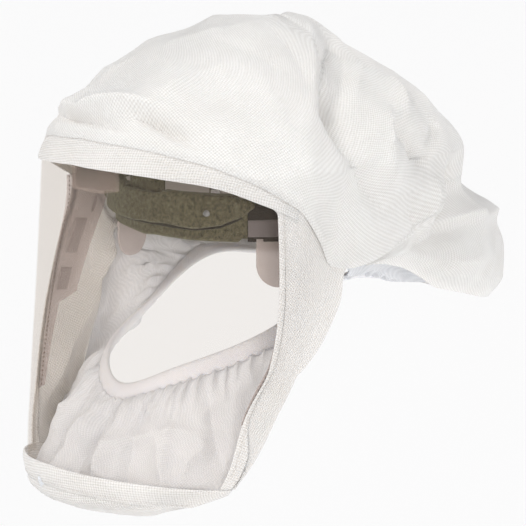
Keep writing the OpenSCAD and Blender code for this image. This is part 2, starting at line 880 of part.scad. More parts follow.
inlet_gasket();
inlet_clamp_ring();
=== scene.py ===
import math

import bmesh
import bpy
import numpy as np
from mathutils import Matrix, Vector


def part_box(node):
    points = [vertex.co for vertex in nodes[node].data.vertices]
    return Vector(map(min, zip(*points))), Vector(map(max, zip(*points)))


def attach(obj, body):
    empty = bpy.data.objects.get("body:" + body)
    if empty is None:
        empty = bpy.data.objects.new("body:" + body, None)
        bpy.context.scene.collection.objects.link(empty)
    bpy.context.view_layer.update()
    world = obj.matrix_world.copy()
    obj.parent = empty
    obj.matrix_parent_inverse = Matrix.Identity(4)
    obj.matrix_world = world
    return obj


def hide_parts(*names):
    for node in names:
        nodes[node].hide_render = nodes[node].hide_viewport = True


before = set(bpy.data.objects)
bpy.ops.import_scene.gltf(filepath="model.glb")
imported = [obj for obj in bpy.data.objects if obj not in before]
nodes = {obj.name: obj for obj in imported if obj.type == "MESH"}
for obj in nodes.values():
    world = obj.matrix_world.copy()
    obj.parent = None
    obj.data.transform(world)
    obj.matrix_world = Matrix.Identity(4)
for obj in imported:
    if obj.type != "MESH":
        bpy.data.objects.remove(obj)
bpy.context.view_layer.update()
HOOD, REAR, CROWN = "hood", "rear_band", "crown_harness"

# ---------------------------------------------------------------- camera
TARGET = Vector((0, 0, -0.05))
AZIMUTH, ELEVATION, DISTANCE = 50, 10, 1.5
FIELD = 0.3472  # width of the view at the target


def towards(azimuth, elevation):
    """Unit vector from the target to a camera or a lamp, both angles in degrees."""
    a, e = math.radians(azimuth), math.radians(elevation)
    return Vector((math.sin(a) * math.cos(e), -math.cos(a) * math.cos(e), math.sin(e)))


def make_camera():
    data = bpy.data.cameras.new("camera")
    data.sensor_width = 36
    data.lens = data.sensor_width * DISTANCE / FIELD
    camera = bpy.data.objects.new("camera", data)
    bpy.context.scene.collection.objects.link(camera)
    back = towards(AZIMUTH, ELEVATION)
    camera.location = TARGET + DISTANCE * back
    camera.rotation_euler = back.to_track_quat("Z", "Y").to_euler()
    bpy.context.scene.camera = camera


make_camera()

# ---------------------------------------------------------------- sizes, in millimetres
MM = 0.001


def span(node):
    """Lowest and highest corners of a CAD node, in millimetres."""
    low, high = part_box(node)
    return np.array(low) / MM, np.array(high) / MM


SIDES = (("left", 1), ("right", -1))
HOOD_W = 230.0
CROWN_TOP = span("crown_panel")[1][2]
CHIN_Z = span("chin_panel")[0][2]
BROW_Y, NAPE_Y, BROW_Z = -155.0, 182.0, 26.0
APEX_W = BROW_Z + 90
CLOTH = 0.9  # thickness of every sheet
MM_PER_DEGREE = 1.95  # round the front of the hood

# The hood's plain surface, by level: its half width, and where its front, widest point and back are along Y
HALF_WIDTH = [
    (CHIN_Z, HOOD_W * 0.31), (-168, HOOD_W * 0.382), (-121, HOOD_W * 0.43),
    (-79, HOOD_W * 0.467), (-30, HOOD_W * 0.488), (BROW_Z, HOOD_W * 0.5),
]
FRONT = [
    (CHIN_Z, BROW_Y + 3), (-180, BROW_Y - 14), (-168, BROW_Y - 18),
    (-150, BROW_Y - 17), (-60, BROW_Y - 6), (BROW_Z, BROW_Y + 1),
]
MIDDLE = [(CHIN_Z, -84), (-165, -78), (-79, -54), (-30, -42), (BROW_Z, -32)]
BACK = [
    (-88, NAPE_Y - 6), (-60, NAPE_Y + 1), (-40, NAPE_Y - 3), (-19, NAPE_Y - 21),
    (3, NAPE_Y - 45), (BROW_Z, NAPE_Y - 51),
]
REAR_SQUARENESS = 2.6
APEX_LEAN = 35  # how far the dome's top lies behind the widest point

# Edges of the window: levels by section angle above and below, and places along Y by level at the sides
WINDOW_TOP = [(0, 28), (33, 24.5), (53, 17.5), (64, 9), (70, 4), (78, -6)]
WINDOW_BOTTOM = [(0, -157), (30, -159.5), (50, -163), (73, -168), (85, -170)]
WINDOW_SIDE = [(-175, -107), (-112, -90), (-90, -80), (-78, -78), (10, -78)]
WINDOW_SIDE_RIGHT = [
    (-175, -142), (-150, -137), (-112, -125), (-90, -116),
    (-66, -106), (-46, -97), (-30, -89), (-16, -82), (-4, -78.5), (10, -78),
]
# Seams: levels by section angle
CROWN_SEAM = [
    (0, 41), (33, 37.5), (53, 30.5), (64, 21), (70, 14), (77, 5), (84, -12),
    (92.6, -34), (102, -22), (115, -2), (140, 8), (180, 10),
]
CHIN_SEAM = [(0, -170.5), (30, -173), (50, -176.5), (66, -179.5)]
# The hem: section angle, level, and the angle round the neck elastic that the seal joins it to
HEM = [
    (0, CHIN_Z, 0), (30, CHIN_Z, 24), (50, -185, 38), (66, -180, 48), (77, -174, 55),
    (84, -148, 66), (88, -121, 76), (91, -86, 86), (92, -60, 92), (92.6, -36, 98),
    (102.4, -41, 106), (113, -60, 118), (132, -74, 135), (154, -83, 156), (180, -88, 180),
]
NOTCH, HEM_END, NOTCH_ANGLE = 9, 14, 92.6  # rows of HEM at the notch and the nape; the notch's angle
# The neck elastic: levels by angle round it, its radii and centre, its half width and thickness, and how
# far the flat band is moved towards the hem
NECK_Z = [(-36, -101), (0, -116.5), (36, -101), (70, -81), (100, -52), (122, -54), (180, -62)]
NECK_RX, NECK_RY, NECK_Y = 68, 108, -10
ELASTIC_HALF, ELASTIC_THICK, ELASTIC_SHIFT = 6.0, 2.4, 2.5

# The inlet at the back: its place and axis, the hole for it in the rear skirt, and how far it holds the cloth
INLET_AT, INLET_AXIS = np.array([0.0, 175.1, -51.8]), np.array([0.0, 0.978, -0.208])
INLET_HOLE, INLET_HELD = 20.6, 31

# The headband: radii of its half ellipses, and the places along Y of their centres
BAND_RX, BAND_RY, BAND_FRONT, BAND_BACK = 80, 65, -30, 34


# ---------------------------------------------------------------- the hood's surface
def curve(table, x):
    """Smooth curve through the (place, value) rows of a table, held level past both ends."""
    rows = np.array(table, float)
    at, value = rows[:, 0], rows[:, 1]
    slope = np.gradient(value, at)
    x = np.clip(np.asarray(x, float), at[0], at[-1])
    i = np.clip(np.searchsorted(at, x, side="right") - 1, 0, len(at) - 2)
    h = at[i + 1] - at[i]
    t = (x - at[i]) / h
    return (
        (2 * t**3 - 3 * t**2 + 1) * value[i] + (t**3 - 2 * t**2 + t) * h * slope[i]
        + (3 * t**2 - 2 * t**3) * value[i + 1] + (t**3 - t**2) * h * slope[i + 1]
    )


def mix(a, b, t):
    return a + (b - a) * t


def smooth(t):
    t = np.clip(t, 0, 1)
    return t * t * (3 - 2 * t)


def unit(v):
    return v / np.maximum(np.linalg.norm(v, axis=-1, keepdims=True), 1e-9)


def power(v, p):
    return np.sign(v) * np.abs(v) ** p


def signed(a):
    """An angle brought to between -180 and 180 degrees."""
    return (a + 180) % 360 - 180


def mirrored(points, side):
    """Points with their x turned to the given side, 1 or -1 for each point."""
    one = np.ones_like(side)
    return points * np.stack([side, one, one], -1)


def normals_of(grid):
    return unit(np.cross(np.gradient(grid, axis=1), np.gradient(grid, axis=0)))


def hood(a, w):
    """Point of the hood at section angle a and level w; above the brow w runs up the dome in degrees."""
    a, w = np.broadcast_arrays(np.radians(np.asarray(a, float)), np.asarray(w, float))
    z = np.minimum(w, BROW_Z)
    rise = np.radians(np.clip(w - BROW_Z, 0, 90))
    front = np.cos(a) > 0
    n = 1.55 + 0.32 * np.cos(a)
    h = np.sin(rise) ** (2 / n)
    s = np.clip(np.cos(rise), 0, 1) ** (2 / n)
    middle = curve(MIDDLE, z)
    reach = np.where(front, middle - curve(FRONT, z), curve(BACK, z) - middle)
    p = np.where(front, 1, 2 / REAR_SQUARENESS)
    x = curve(HALF_WIDTH, z) * power(np.sin(a), p) * s
    y = middle + APEX_LEAN * h - reach * power(np.cos(a), p) * s
    flatten = 3.2 * np.exp(-((s / 0.2) ** 2))
    return np.stack([x, y, z + (CROWN_TOP - BROW_Z) * h - flatten], -1)


def hood_out(a, w):
    """Outward direction of the hood's plain surface."""
    e = 1.0
    around = hood(np.asarray(a) + e, w) - hood(np.asarray(a) - e, w)
    along = hood(a, np.minimum(np.asarray(w) + e, APEX_W)) - hood(a, np.asarray(w) - e)
    out = unit(np.cross(around, along))
    top = (np.asarray(w) > APEX_W - 3)[..., None]
    return np.where(top, np.array([0.0, 0.0, 1.0]), out)


def inside(a, w, depth):
    """Point at a depth in millimetres under the hood's plain surface."""
    return hood(a, w) - np.asarray(depth)[..., None] * hood_out(a, w)


def angle_at(y, z):
    """Section angle at which the hood passes the place y at level z, in front of its widest point."""
    middle = curve(MIDDLE, z)
    return np.degrees(np.arccos(np.clip((middle - y) / (middle - curve(FRONT, z)), -1, 1)))


def window_edge(z, side=1):
    """Section angle of the window's side edge; on the wearer's right it runs further forward lower down."""
    left, right = (angle_at(curve(table, z), z) for table in (WINDOW_SIDE, WINDOW_SIDE_RIGHT))
    return np.where(np.asarray(side) < 0, right, left)


def hem_column(c, t):
    return curve([(i, row[c]) for i, row in enumerate(HEM)], t)


def hem_place(value, c=0):
    """Place along the rows of HEM at which column c has a value."""
    return np.interp(value, [row[c] for row in HEM], range(len(HEM)))


def neck(angle):
    """Centre line of the neck elastic; angle 0 is the chin, positive towards the wearer's left."""
    a = np.asarray(angle, float)
    r = np.radians(a)
    return np.stack([NECK_RX * np.sin(r), NECK_Y - NECK_RY * np.cos(r), curve(NECK_Z, np.abs(signed(a)))], -1)


# ---------------------------------------------------------------- folds of the cloth
# Each fold is a line over the surface with, at each point, how far the cloth stands out (or in, if
# negative), and how wide it is on the side to the left and to the right of the line's direction.
FOLDS = [
    # deep valley over the ear, its front edge steep, running down to the notch
    ([(28, 35, 101), (62, 3, 91), (83, -17, 75), (99, -30, 59), (109, -27, 44), (114, -22, 29),
      (114, -12, 12), (113, -1, 2), (112, 15, -11)],
     (-4, -9, -12, -12, -9, -7, -5, -4, -2), 16, 6),
    ([(20, 20, 110), (52, -6, 99), (78, -25, 80), (93, -37, 62), (106, -36, 46)], (2, 3, 4, 4, 2), 8, 10),
    ([(17, -18, 112), (37, -21, 105), (56, -25, 95), (76, -31, 82), (91, -38, 67)],
     (-1, -2, -3, -3, -1), 7, 9),
    # ridge and dark hollow behind the ear
    ([(92, 24, 62), (99, 17, 55), (107, 12, 44), (112, 8, 29), (113, 12, 8)], (1, 4, 5, 4, 1), 6, 7),
    ([(99, 24, 54), (104, 31, 45), (108, 39, 32), (109, 45, 20)], (-3, -7, -7, -3), 8, 8),
    ([(61, 31, 86), (79, 11, 76), (92, -1, 66)], (2, 3, 1), 6, 6),
    ([(70, 45, 76), (88, 40, 63), (100, 34, 50)], (2, 4, 2), 7, 8),
    ([(87, 71, 48), (99, 56, 37), (107, 47, 22)], (-4, -5, -2), 5, 7),
    # upright folds between the crown and the rear skirt
    ([(106, 52, 16), (107, 48, 3), (108, 45, -10), (108, 46, -22)], (4, 5, 4, 1), 6, 6),
    ([(112, 28, 8), (111, 31, -6), (110, 34, -20)], (-2, -4, -2), 6, 6),
    ([(92, 88, 18), (99, 72, 2), (104, 64, -12), (106, 60, -26)], (-5, -8, -7, -2), 14, 5),
    ([(98, 62, 20), (104, 57, 4), (107, 55, -12)], (2, 4, 3), 6, 6),
    # sharp fold across the rear skirt, and the bulge above and below it
    ([(50, 165, -27), (62, 149, -25), (80, 124, -24), (96, 94, -23), (105, 64, -26), (109, 42, -30),
      (110, 24, -32)], (5, 5, 2, -3, -6, -6, -2), 5, 12),
    ([(40, 150, 6), (62, 138, 5), (82, 118, 4), (96, 92, 3), (103, 70, 0)], (-5, -7, -6, -3, -1), 10, 9),
    ([(80, 126, -18), (95, 94, -15), (104, 66, -16)], (2, 4, 2), 6, 6),
    ([(58, 160, -52), (80, 130, -48), (98, 92, -44), (106, 60, -42)], (-2, 0, 5, 3), 12, 12),
    # folds over the brow
    ([(-57, -121, 50), (-30, -132, 53), (-3, -137, 53), (22, -136, 50), (52, -130, 42)],
     (-4, -8, -8, -8, -3), 5, 4),
    ([(26, -129, 58), (42, -124, 56), (58, -120, 49), (78, -113, 38), (88, -106, 30)],
     (-2, -7, -8, -6, -2), 5, 4),
    ([(-65, -116, 52), (-19, -131, 58), (24, -124, 63), (46, -116, 63)], (3, 6, 6, 3), 8, 6),
    ([(41, -113, 66), (39, -103, 74), (41, -88, 82), (49, -67, 89)], (2, 3, 2, 1), 9, 9),
    ([(20, -60, 104), (50, -50, 92), (72, -45, 80)], (-1, -2, -1), 6, 8),
    ([(10, 5, 114), (22, 28, 108), (30, 45, 98)], (2, 4, 2), 8, 8),
]
# The same kinds of fold on the wearer's right and at the back, which lie a little differently
FAR_SHIFT, FAR_SHARE, FAR_COUNT = np.array([0.0, 7.0, -4.0]), 0.85, 15
FAR_FOLDS = [
    ([(-110, -51, -60), (-108, -67, -67), (-104, -81, -75), (-99, -96, -82), (-92, -110, -89)],
     (4, 5, 5, 4, 2), 7, 12),
    ([(-109, -52, -71), (-105, -65, -89), (-97, -91, -112), (-89, -110, -132), (-83, -123, -144)],
     (-2, -4, -4, -3, -1), 10, 10),
    ([(-108, -30, -60), (-104, -52, -92), (-96, -72, -120), (-88, -88, -146)], (3, 4, 4, 2), 9, 9),
    ([(-110, -40, -48), (-107, -46, -72), (-101, -58, -98)], (-4, -6, -3), 4, 7),
    ([(-30, 140, 6), (-10, 146, 0), (12, 143, 4), (34, 134, 12)], (-2, -5, -5, -2), 8, 6),
    ([(-34, 112, 52), (-4, 120, 48), (30, 112, 52)], (2, 4, 2), 9, 9),
    ([(-10, 60, 100), (0, 90, 80), (6, 112, 58)], (-2, -4, -2), 8, 8),
]


def mirrored_folds():
    """The first folds of the list, carried over to the wearer's right."""
    for line, lift, left, right in FOLDS[:FAR_COUNT]:
        moved = [tuple(np.array([-x, y, z]) + FAR_SHIFT) for x, y, z in line]
        yield moved, [FAR_SHARE * k for k in lift], right, left


def along_line(points, line, values):
    """Signed distance of points to a line, how far along it they are, and the line's value there."""
    line = np.array(line, float)
    lengths = np.linalg.norm(np.diff(line, axis=0), axis=1)
    start = np.concatenate([[0], np.cumsum(lengths)])
    best = np.full(len(points), 1e9)
    place = np.zeros(len(points))
    value = np.zeros(len(points))
    side = np.zeros((len(points), 3))
    ahead = np.zeros((len(points), 3))
    for i, length in enumerate(lengths):
        step = (line[i + 1] - line[i]) / length
        t = np.clip((points - line[i]) @ step, 0, length)
        away = points - (line[i] + t[:, None] * step)
        d = np.linalg.norm(away, axis=1)
        closer = d < best
        best = np.where(closer, d, best)
        place = np.where(closer, start[i] + t, place)
        value = np.where(closer, mix(values[i], values[i + 1], t / length), value)
        side = np.where(closer[:, None], away, side)
        ahead = np.where(closer[:, None], step, ahead)
    return best, place / start[-1], value, side, ahead


def noise(points, size, seed, octaves=2):
    """Smooth value noise from -1 to 1 over points in millimetres."""
    total, weight = np.zeros(len(points)), 0.0
    for k in range(octaves):
        table = np.random.RandomState(seed + 17 * k).rand(64, 64, 64) * 2 - 1
        q = points * (2**k / size) + 300.5
        i = np.floor(q).astype(int)
        f = smooth(q - i)
        value = 0
        for dx in (0, 1):
            for dy in (0, 1):
                for dz in (0, 1):
                    corner = table[(i[:, 0] + dx) % 64, (i[:, 1] + dy) % 64, (i[:, 2] + dz) % 64]
                    wx = f[:, 0] if dx else 1 - f[:, 0]
                    wy = f[:, 1] if dy else 1 - f[:, 1]
                    wz = f[:, 2] if dz else 1 - f[:, 2]
                    value = value + corner * wx * wy * wz
        total += value * 0.5**k
        weight += 0.5**k
    return total / weight


ALL_FOLDS = FOLDS + list(mirrored_folds()) + FAR_FOLDS
FOLD_GAIN, FOLD_SHARPNESS, FOLD_REACH = 1.6, 1.2, 40
CREASE_TURN = np.array([[0.80, 0.36, 0.48], [-0.60, 0.48, 0.64], [0.0, -0.80, 0.60]])


def fold_lift(flat, out, folds):
    """How far a list of folds lifts each point, in millimetres."""
    lift = np.zeros(len(flat))
    for line, values, left, right in folds:
        low, high = np.min(line, axis=0) - FOLD_REACH, np.max(line, axis=0) + FOLD_REACH
        near = np.all((flat > low) & (flat < high), axis=1)
        if not near.any():
            continue
        d, place, value, away, ahead = along_line(flat[near], line, values)
        turn = np.einsum("ij,ij->i", np.cross(out[near], ahead), away)
        width = mix(left, right, smooth(0.5 - turn / np.maximum(d, 1e-6) / 2))
        ends = smooth(place / 0.12) * smooth((1 - place) / 0.12)
        lift[near] += FOLD_GAIN * value * np.exp(-((d / width) ** FOLD_SHARPNESS)) * (0.35 + 0.65 * ends)
    return lift


def relief(points, normals, loose):
    """How far the cloth stands out of the plain surface, in millimetres. loose is 0 to 1 per point."""
    flat = points.reshape(-1, 3)
    lift = fold_lift(flat, normals.reshape(-1, 3), ALL_FOLDS)
    turned = flat @ CREASE_TURN.T
    crease = 1 - np.abs(noise(turned * [1, 0.45, 1], 26, 5)) * 2
    soft = noise(flat, 48, 3)
    facet = 1 - np.abs(noise(flat @ CREASE_TURN * [1, 0.6, 1], 40, 21, 1)) * 2.2
    fine = noise(turned * [1, 0.5, 1], 11, 9)
    lift += 1.0 * soft + 1.8 * (crease - 0.3) + 2.2 * (facet - 0.3) + 0.4 * fine
    return (lift * loose.reshape(-1)).reshape(points.shape[:-1])


# ---------------------------------------------------------------- meshes
def new_object(name, vertices, faces, uv=None, material=None):
    """A smooth-shaded mesh object from millimetre coordinates; uv is one (u, v) per vertex."""
    mesh = bpy.data.meshes.new(name)
    mesh.from_pydata((np.asarray(vertices, float) * MM).tolist(), [], [tuple(map(int, f)) for f in faces])
    if uv is not None:
        layer = mesh.uv_layers.new(name="cloth")
        index = np.zeros(len(mesh.loops), np.int64)
        mesh.loops.foreach_get("vertex_index", index)
        layer.data.foreach_set("uv", (np.asarray(uv, float)[index] * MM).astype(np.float32).ravel())
    mesh.polygons.foreach_set("use_smooth", np.ones(len(mesh.polygons), bool))
    mesh.update()
    mesh.set_sharp_from_angle(angle=math.radians(55))
    piece = bpy.data.objects.new(name, mesh)
    bpy.context.scene.collection.objects.link(piece)
    if material:
        mesh.materials.append(material)
    return piece


def grid_quads(rows, cols, offset=0, wrap=False, flip=False):
    """Faces between the points of a grid, whose first point has the number offset."""
    j, i = np.meshgrid(np.arange(rows - 1), np.arange(cols if wrap else cols - 1), indexing="ij")
    k = (i + 1) % cols
    quad = np.stack([j * cols + i, j * cols + k, (j + 1) * cols + k, (j + 1) * cols + i], -1).reshape(-1, 4)
    return (quad[:, ::-1] if flip else quad) + offset


def rim_quads(loop_a, loop_b, wrap):
    """Faces that join two rows of points."""
    n = len(loop_a)
    i = np.arange(n if wrap else n - 1)
    k = (i + 1) % n
    return np.stack([loop_a[i], loop_b[i], loop_b[k], loop_a[k]], -1)


def cloth_uv(grid, turn=0.0):
    """Flat coordinates in millimetres for a grid of points, turned by some degrees."""
    across = np.linalg.norm(np.diff(grid, axis=1), axis=-1)
    up = np.linalg.norm(np.diff(grid, axis=0), axis=-1)
    u = np.concatenate([np.zeros((len(grid), 1)), np.cumsum(across, 1)], 1)
    u = u - u[:, -1:] / 2
    v = np.concatenate([np.zeros((1, grid.shape[1])), np.cumsum(up, 0)], 0)
    c, s = math.cos(math.radians(turn)), math.sin(math.radians(turn))
    return np.stack([c * u - s * v, s * u + c * v], -1).reshape(-1, 2)


def thick_sheet(name, outer, inner, material, wrap=False, cap=False, turn=0.0, plain=None):
    """A closed sheet between two grids of points.

    wrap joins the first and last columns, cap closes the last row, and the cloth's own coordinates are
    taken from the grid plain where there is one.
    """
    rows, cols = outer.shape[:2]
    count = rows * cols
    out_ids = np.arange(count).reshape(rows, cols)
    in_ids = out_ids + count
    faces = [grid_quads(rows, cols, 0, wrap), grid_quads(rows, cols, count, wrap, True)]
    faces.append(rim_quads(in_ids[0], out_ids[0], wrap)[:, ::-1])
    if not cap:
        faces.append(rim_quads(in_ids[-1], out_ids[-1], wrap))
    if not wrap:
        faces.append(rim_quads(in_ids[:, 0], out_ids[:, 0], False))
        faces.append(rim_quads(in_ids[:, -1], out_ids[:, -1], False)[:, ::-1])
    vertices = np.concatenate([outer.reshape(-1, 3), inner.reshape(-1, 3)])
    uv = np.tile(cloth_uv(outer if plain is None else plain, turn), (2, 1))
    faces = [tuple(f) for group in faces for f in group]
    if cap:
        vertices = np.concatenate([vertices, [outer[-1].mean(0), inner[-1].mean(0)]])
        uv = np.concatenate([uv, uv[[count - 1, count - 1]]])
        for i in range(cols):
            k = (i + 1) % cols
            faces.append((out_ids[-1, i], out_ids[-1, k], 2 * count))
            faces.append((in_ids[-1, k], in_ids[-1, i], 2 * count + 1))
    return new_object(name, vertices, faces, uv, material)


# Ease added to a flat size, and the least share of width times length that its area may be
FLAT_EASE, LEAST_SHARE = 1.01, 0.31


def flat_size(grid):
    """Width, length and area of a grid of points when laid flat, in metres."""
    across = np.linalg.norm(np.diff(grid, axis=1), axis=-1).sum(1).max()
    up = np.linalg.norm(np.diff(grid, axis=0), axis=-1).sum(0).max()
    a, b, c, d = grid[:-1, :-1], grid[:-1, 1:], grid[1:, 1:], grid[1:, :-1]
    halves = np.cross(b - a, c - a), np.cross(c - a, d - a)
    area = sum(np.linalg.norm(half, axis=-1).sum() for half in halves) / 2
    width, length = across * MM * FLAT_EASE, up * MM * FLAT_EASE
    area = min(area * MM * MM, width * length)
    return (width, length), max(area, LEAST_SHARE * width * length)


def put(piece, body, slot, *hides):
    """Says which body a piece rides on and hides the CAD pieces it stands for; slot, what it is made of, is
    not used.
    """
    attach(piece, body)
    if hides:
        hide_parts(*hides)
    return piece


def put_cloth(piece, slot, grid, hides):
    """The same for a sheet of the hood; its flat size is worked out from its grid but not used."""
    flat, area = flat_size(grid)
    put(piece, HOOD, slot, *hides)


def fix_normals(piece):
    bm = bmesh.new()
    bm.from_mesh(piece.data)
    bmesh.ops.recalc_face_normals(bm, faces=bm.faces)
    bm.to_mesh(piece.data)
    bm.free()


def ring_uv(ring, length):
    """Flat coordinates for a ring of points at a length along its solid."""
    around = np.concatenate([[0], np.cumsum(np.linalg.norm(np.diff(ring, axis=0), axis=1))])
    return np.stack([np.full(len(ring), length), around], -1)


def tube(name, rings, uvs, material, bumps=None, seed=0):
    """A closed solid through rings of points, roughened by bumps: their height and size in millimetres."""
    points = np.array(rings)
    if bumps:
        out = unit(np.cross(np.gradient(points, axis=0), np.roll(points, -1, 1) - np.roll(points, 1, 1)))
        lift = bumps[0] * noise(points.reshape(-1, 3), bumps[1], seed).reshape(points.shape[:2])
        points = points + out * lift[..., None]
    rows, cols = points.shape[:2]
    faces = [tuple(f) for f in grid_quads(rows, cols, 0, True)]
    faces.append(tuple(range(cols))[::-1])
    faces.append(tuple((rows - 1) * cols + i for i in range(cols)))
    piece = new_object(name, points.reshape(-1, 3), faces, uvs and np.concatenate(uvs), material)
    fix_normals(piece)
    return piece


# ---------------------------------------------------------------- materials
class Nodes:
    """Short calls for building a material's node tree."""

    def __init__(self, name):
        self.material = bpy.data.materials.new(name)
        self.material.use_nodes = True
        self.tree = self.material.node_tree
        self.shader = self.tree.nodes["Principled BSDF"]

    def add(self, kind, **inputs):
        node = self.tree.nodes.new("ShaderNode" + kind)
        for key, value in inputs.items():
            if key in ("operation", "blend_type", "data_type", "wave_type", "bands_direction", "feature"):
                setattr(node, key, value)
                continue
            self.put(node, key.replace("_", " "), value)
        return node

    def put(self, node, socket, value):
        target = node.inputs[int(socket)] if socket.isdigit() else node.inputs[socket]
        if isinstance(value, bpy.types.NodeSocket):
            self.tree.links.new(value, target)
        else:
            target.default_value = value

    def math(self, operation, a, b=0.0):
        node = self.tree.nodes.new("ShaderNodeMath")
        node.operation = operation
        self.put(node, "0", a)
        self.put(node, "1", b)
        return node.outputs[0]

    def place(self, kind="Object"):
        return self.tree.nodes.new("ShaderNodeTexCoord").outputs[kind]

    def noise(self, scale, detail=3.0, rough=0.5, vector=None):
        node = self.add("TexNoise", Scale=scale, Detail=detail, Roughness=rough)
        self.put(node, "Vector", vector or self.place())
        return node.outputs["Fac"]

    def ramp(self, value, low, high, at=(0.0, 1.0)):
        node = self.tree.nodes.new("ShaderNodeValToRGB")
        node.color_ramp.elements[0].position, node.color_ramp.elements[1].position = at
        node.color_ramp.elements[0].color = (*low, 1)
        node.color_ramp.elements[1].color = (*high, 1)
        self.put(node, "Fac", value)
        return node.outputs["Color"]

    def stretch(self, value, low, high):
        node = self.add("MapRange")
        self.put(node, "Value", value)
        self.put(node, "To Min", low)
        self.put(node, "To Max", high)
        return node.outputs["Result"]

    def bump(self, height, distance, strength=1.0, under=None):
        node = self.add("Bump", Strength=strength, Distance=distance, Height=height)
        if under is not None:
            self.put(node, "Normal", under)
        return node.outputs["Normal"]

    def finish(self, **inputs):
        for key, value in inputs.items():
            self.put(self.shader, key.replace("_", " "), value)
        return self.material


def srgb(r, g, b):
    return tuple(((v / 255 + 0.055) / 1.055) ** 2.4 if v > 10 else v / 255 / 12.92 for v in (r, g, b))


def embossed(n, pitch_u, pitch_v):
    """Height of the bond pattern pressed into the cloth: rows of small pits."""
    split = n.add("SeparateXYZ", Vector=n.place("UV"))
    a = n.math("SINE", n.math("MULTIPLY", split.outputs[0], 2 * math.pi / pitch_u))
    b = n.math("SINE", n.math("MULTIPLY", split.outputs[1], 2 * math.pi / pitch_v))
    return n.math("MULTIPLY", a, b)


def nonwoven(name, light, dark, pitch=(0.0021, 0.0021), relief_mm=0.12, shade=0.5, glow=0.55):
    """White spunbond cloth: pressed dots, stray fibres and faint clouding; the colour follows the dots'
    height, partly their own tone and partly painted shade in the pits.
    """
    n = Nodes(name)
    dots = embossed(n, *pitch)
    fibres = n.noise(900, 4, 0.7)
    clouds = n.noise(26, 3, 0.55)
    # colour darker where the pressed dots sink: partly the dots' own tone, partly painted shade in the pits
    tone = n.math("ADD", n.math("MULTIPLY", dots, 0.32 * shade), n.stretch(clouds, 0.35, 0.8))
    tone = n.math("ADD", tone, n.math("MULTIPLY", n.math("SUBTRACT", fibres, 0.5), 0.35))
    color = n.ramp(tone, srgb(*dark), srgb(*light), (0.1, 0.95))
    under = n.bump(fibres, 0.00008, 0.5)
    normal = n.bump(dots, relief_mm * MM, 0.75, under)
    return n.finish(
        Base_Color=color, Roughness=n.stretch(fibres, 0.62, 0.9), Normal=normal,
        Sheen_Weight=0.2, Sheen_Roughness=0.5, Subsurface_Weight=glow,
        Subsurface_Radius=(1.0, 0.95, 0.9), Subsurface_Scale=0.0035, Specular_IOR_Level=0.2,
    )


def felt(name, light, dark):
    n = Nodes(name)
    tufts = n.noise(1500, 5, 0.75)
    patches = n.noise(420, 4, 0.75)
    tone = n.math("ADD", n.math("MULTIPLY", tufts, 0.4), n.math("MULTIPLY", patches, 0.6))
    color = n.ramp(tone, srgb(*dark), srgb(*light), (0.4, 0.62))
    normal = n.bump(tufts, 0.0004, 0.9, n.bump(patches, 0.0006, 0.5))
    return n.finish(
        Base_Color=color, Roughness=0.95, Normal=normal, Sheen_Weight=0.7, Sheen_Roughness=0.45,
        Sheen_Tint=(*srgb(190, 192, 175), 1), Specular_IOR_Level=0.15,
    )


def webbing(name, light, dark, pitch=0.0011):
    """Woven tape: fine ribs across its length and finer ones along it."""
    n = Nodes(name)
    weave = embossed(n, pitch, pitch * 0.8)
    fuzz = n.noise(700, 3, 0.6)
    tone = n.math("ADD", n.math("MULTIPLY", weave, 0.3), n.stretch(fuzz, 0.3, 0.7))
    return n.finish(
        Base_Color=n.ramp(tone, srgb(*dark), srgb(*light), (0.1, 0.9)), Roughness=0.75,
        Normal=n.bump(weave, 0.0002, 0.8, n.bump(fuzz, 0.0001, 0.5)), Sheen_Weight=0.3,
        Sheen_Roughness=0.4, Specular_IOR_Level=0.3,
    )


def hook_tape(name, light, dark):
    n = Nodes(name)
    pile = n.noise(1100, 4, 0.8)
    streak = n.add("TexNoise", Scale=260.0, Detail=3.0)
    squeeze = n.add("Mapping", Scale=(1, 1, 0.25), Vector=n.place())
    n.put(streak, "Vector", squeeze.outputs["Vector"])
    tone = n.math("ADD", n.math("MULTIPLY", pile, 0.5), n.math("MULTIPLY", streak.outputs["Fac"], 0.6))
    return n.finish(
        Base_Color=n.ramp(tone, srgb(*dark), srgb(*light), (0.4, 0.75)), Roughness=0.85,
        Normal=n.bump(pile, 0.0005, 1.0), Sheen_Weight=0.1, Specular_IOR_Level=0.25,
    )


def plastic(name, light, dark, rough=0.4, grain=0.00004, **more):
    n = Nodes(name)
    fine = n.noise(1300, 3, 0.6)
    wide = n.noise(35, 3, 0.5)
    return n.finish(
        Base_Color=n.ramp(wide, srgb(*dark), srgb(*light), (0.3, 0.7)),
        Roughness=n.stretch(wide, rough - 0.07, rough + 0.09), Normal=n.bump(fine, grain, 0.6), **more
    )


def film(name, tint, color, cover, rough=0.06, grain=0.0):
    """See-through film: light passes through it tinted, and a clouded glossy skin covers a share of it."""
    n = Nodes(name)
    clouds = n.noise(14, 4, 0.6)
    waves = n.noise(8, 2, 0.4)
    normal = n.bump(waves, 0.0006, 0.35)
    if grain:
        normal = n.bump(n.noise(900, 3, 0.6), grain * MM, 0.7, normal)
    skin = n.finish(
        Base_Color=n.ramp(clouds, srgb(*[v * 0.95 for v in color]), srgb(*color), (0.3, 0.7)),
        Roughness=n.stretch(clouds, rough, rough + 0.08), Normal=normal, Specular_IOR_Level=0.5,
    )
    through = n.add("BsdfTransparent", Color=(*tint, 1))
    both = n.add("MixShader", Fac=n.stretch(clouds, cover * 0.85, cover * 1.15))
    n.tree.links.new(through.outputs[0], both.inputs[1])
    n.tree.links.new(n.shader.outputs[0], both.inputs[2])
    n.tree.links.new(both.outputs[0], n.tree.nodes["Material Output"].inputs["Surface"])
    return skin


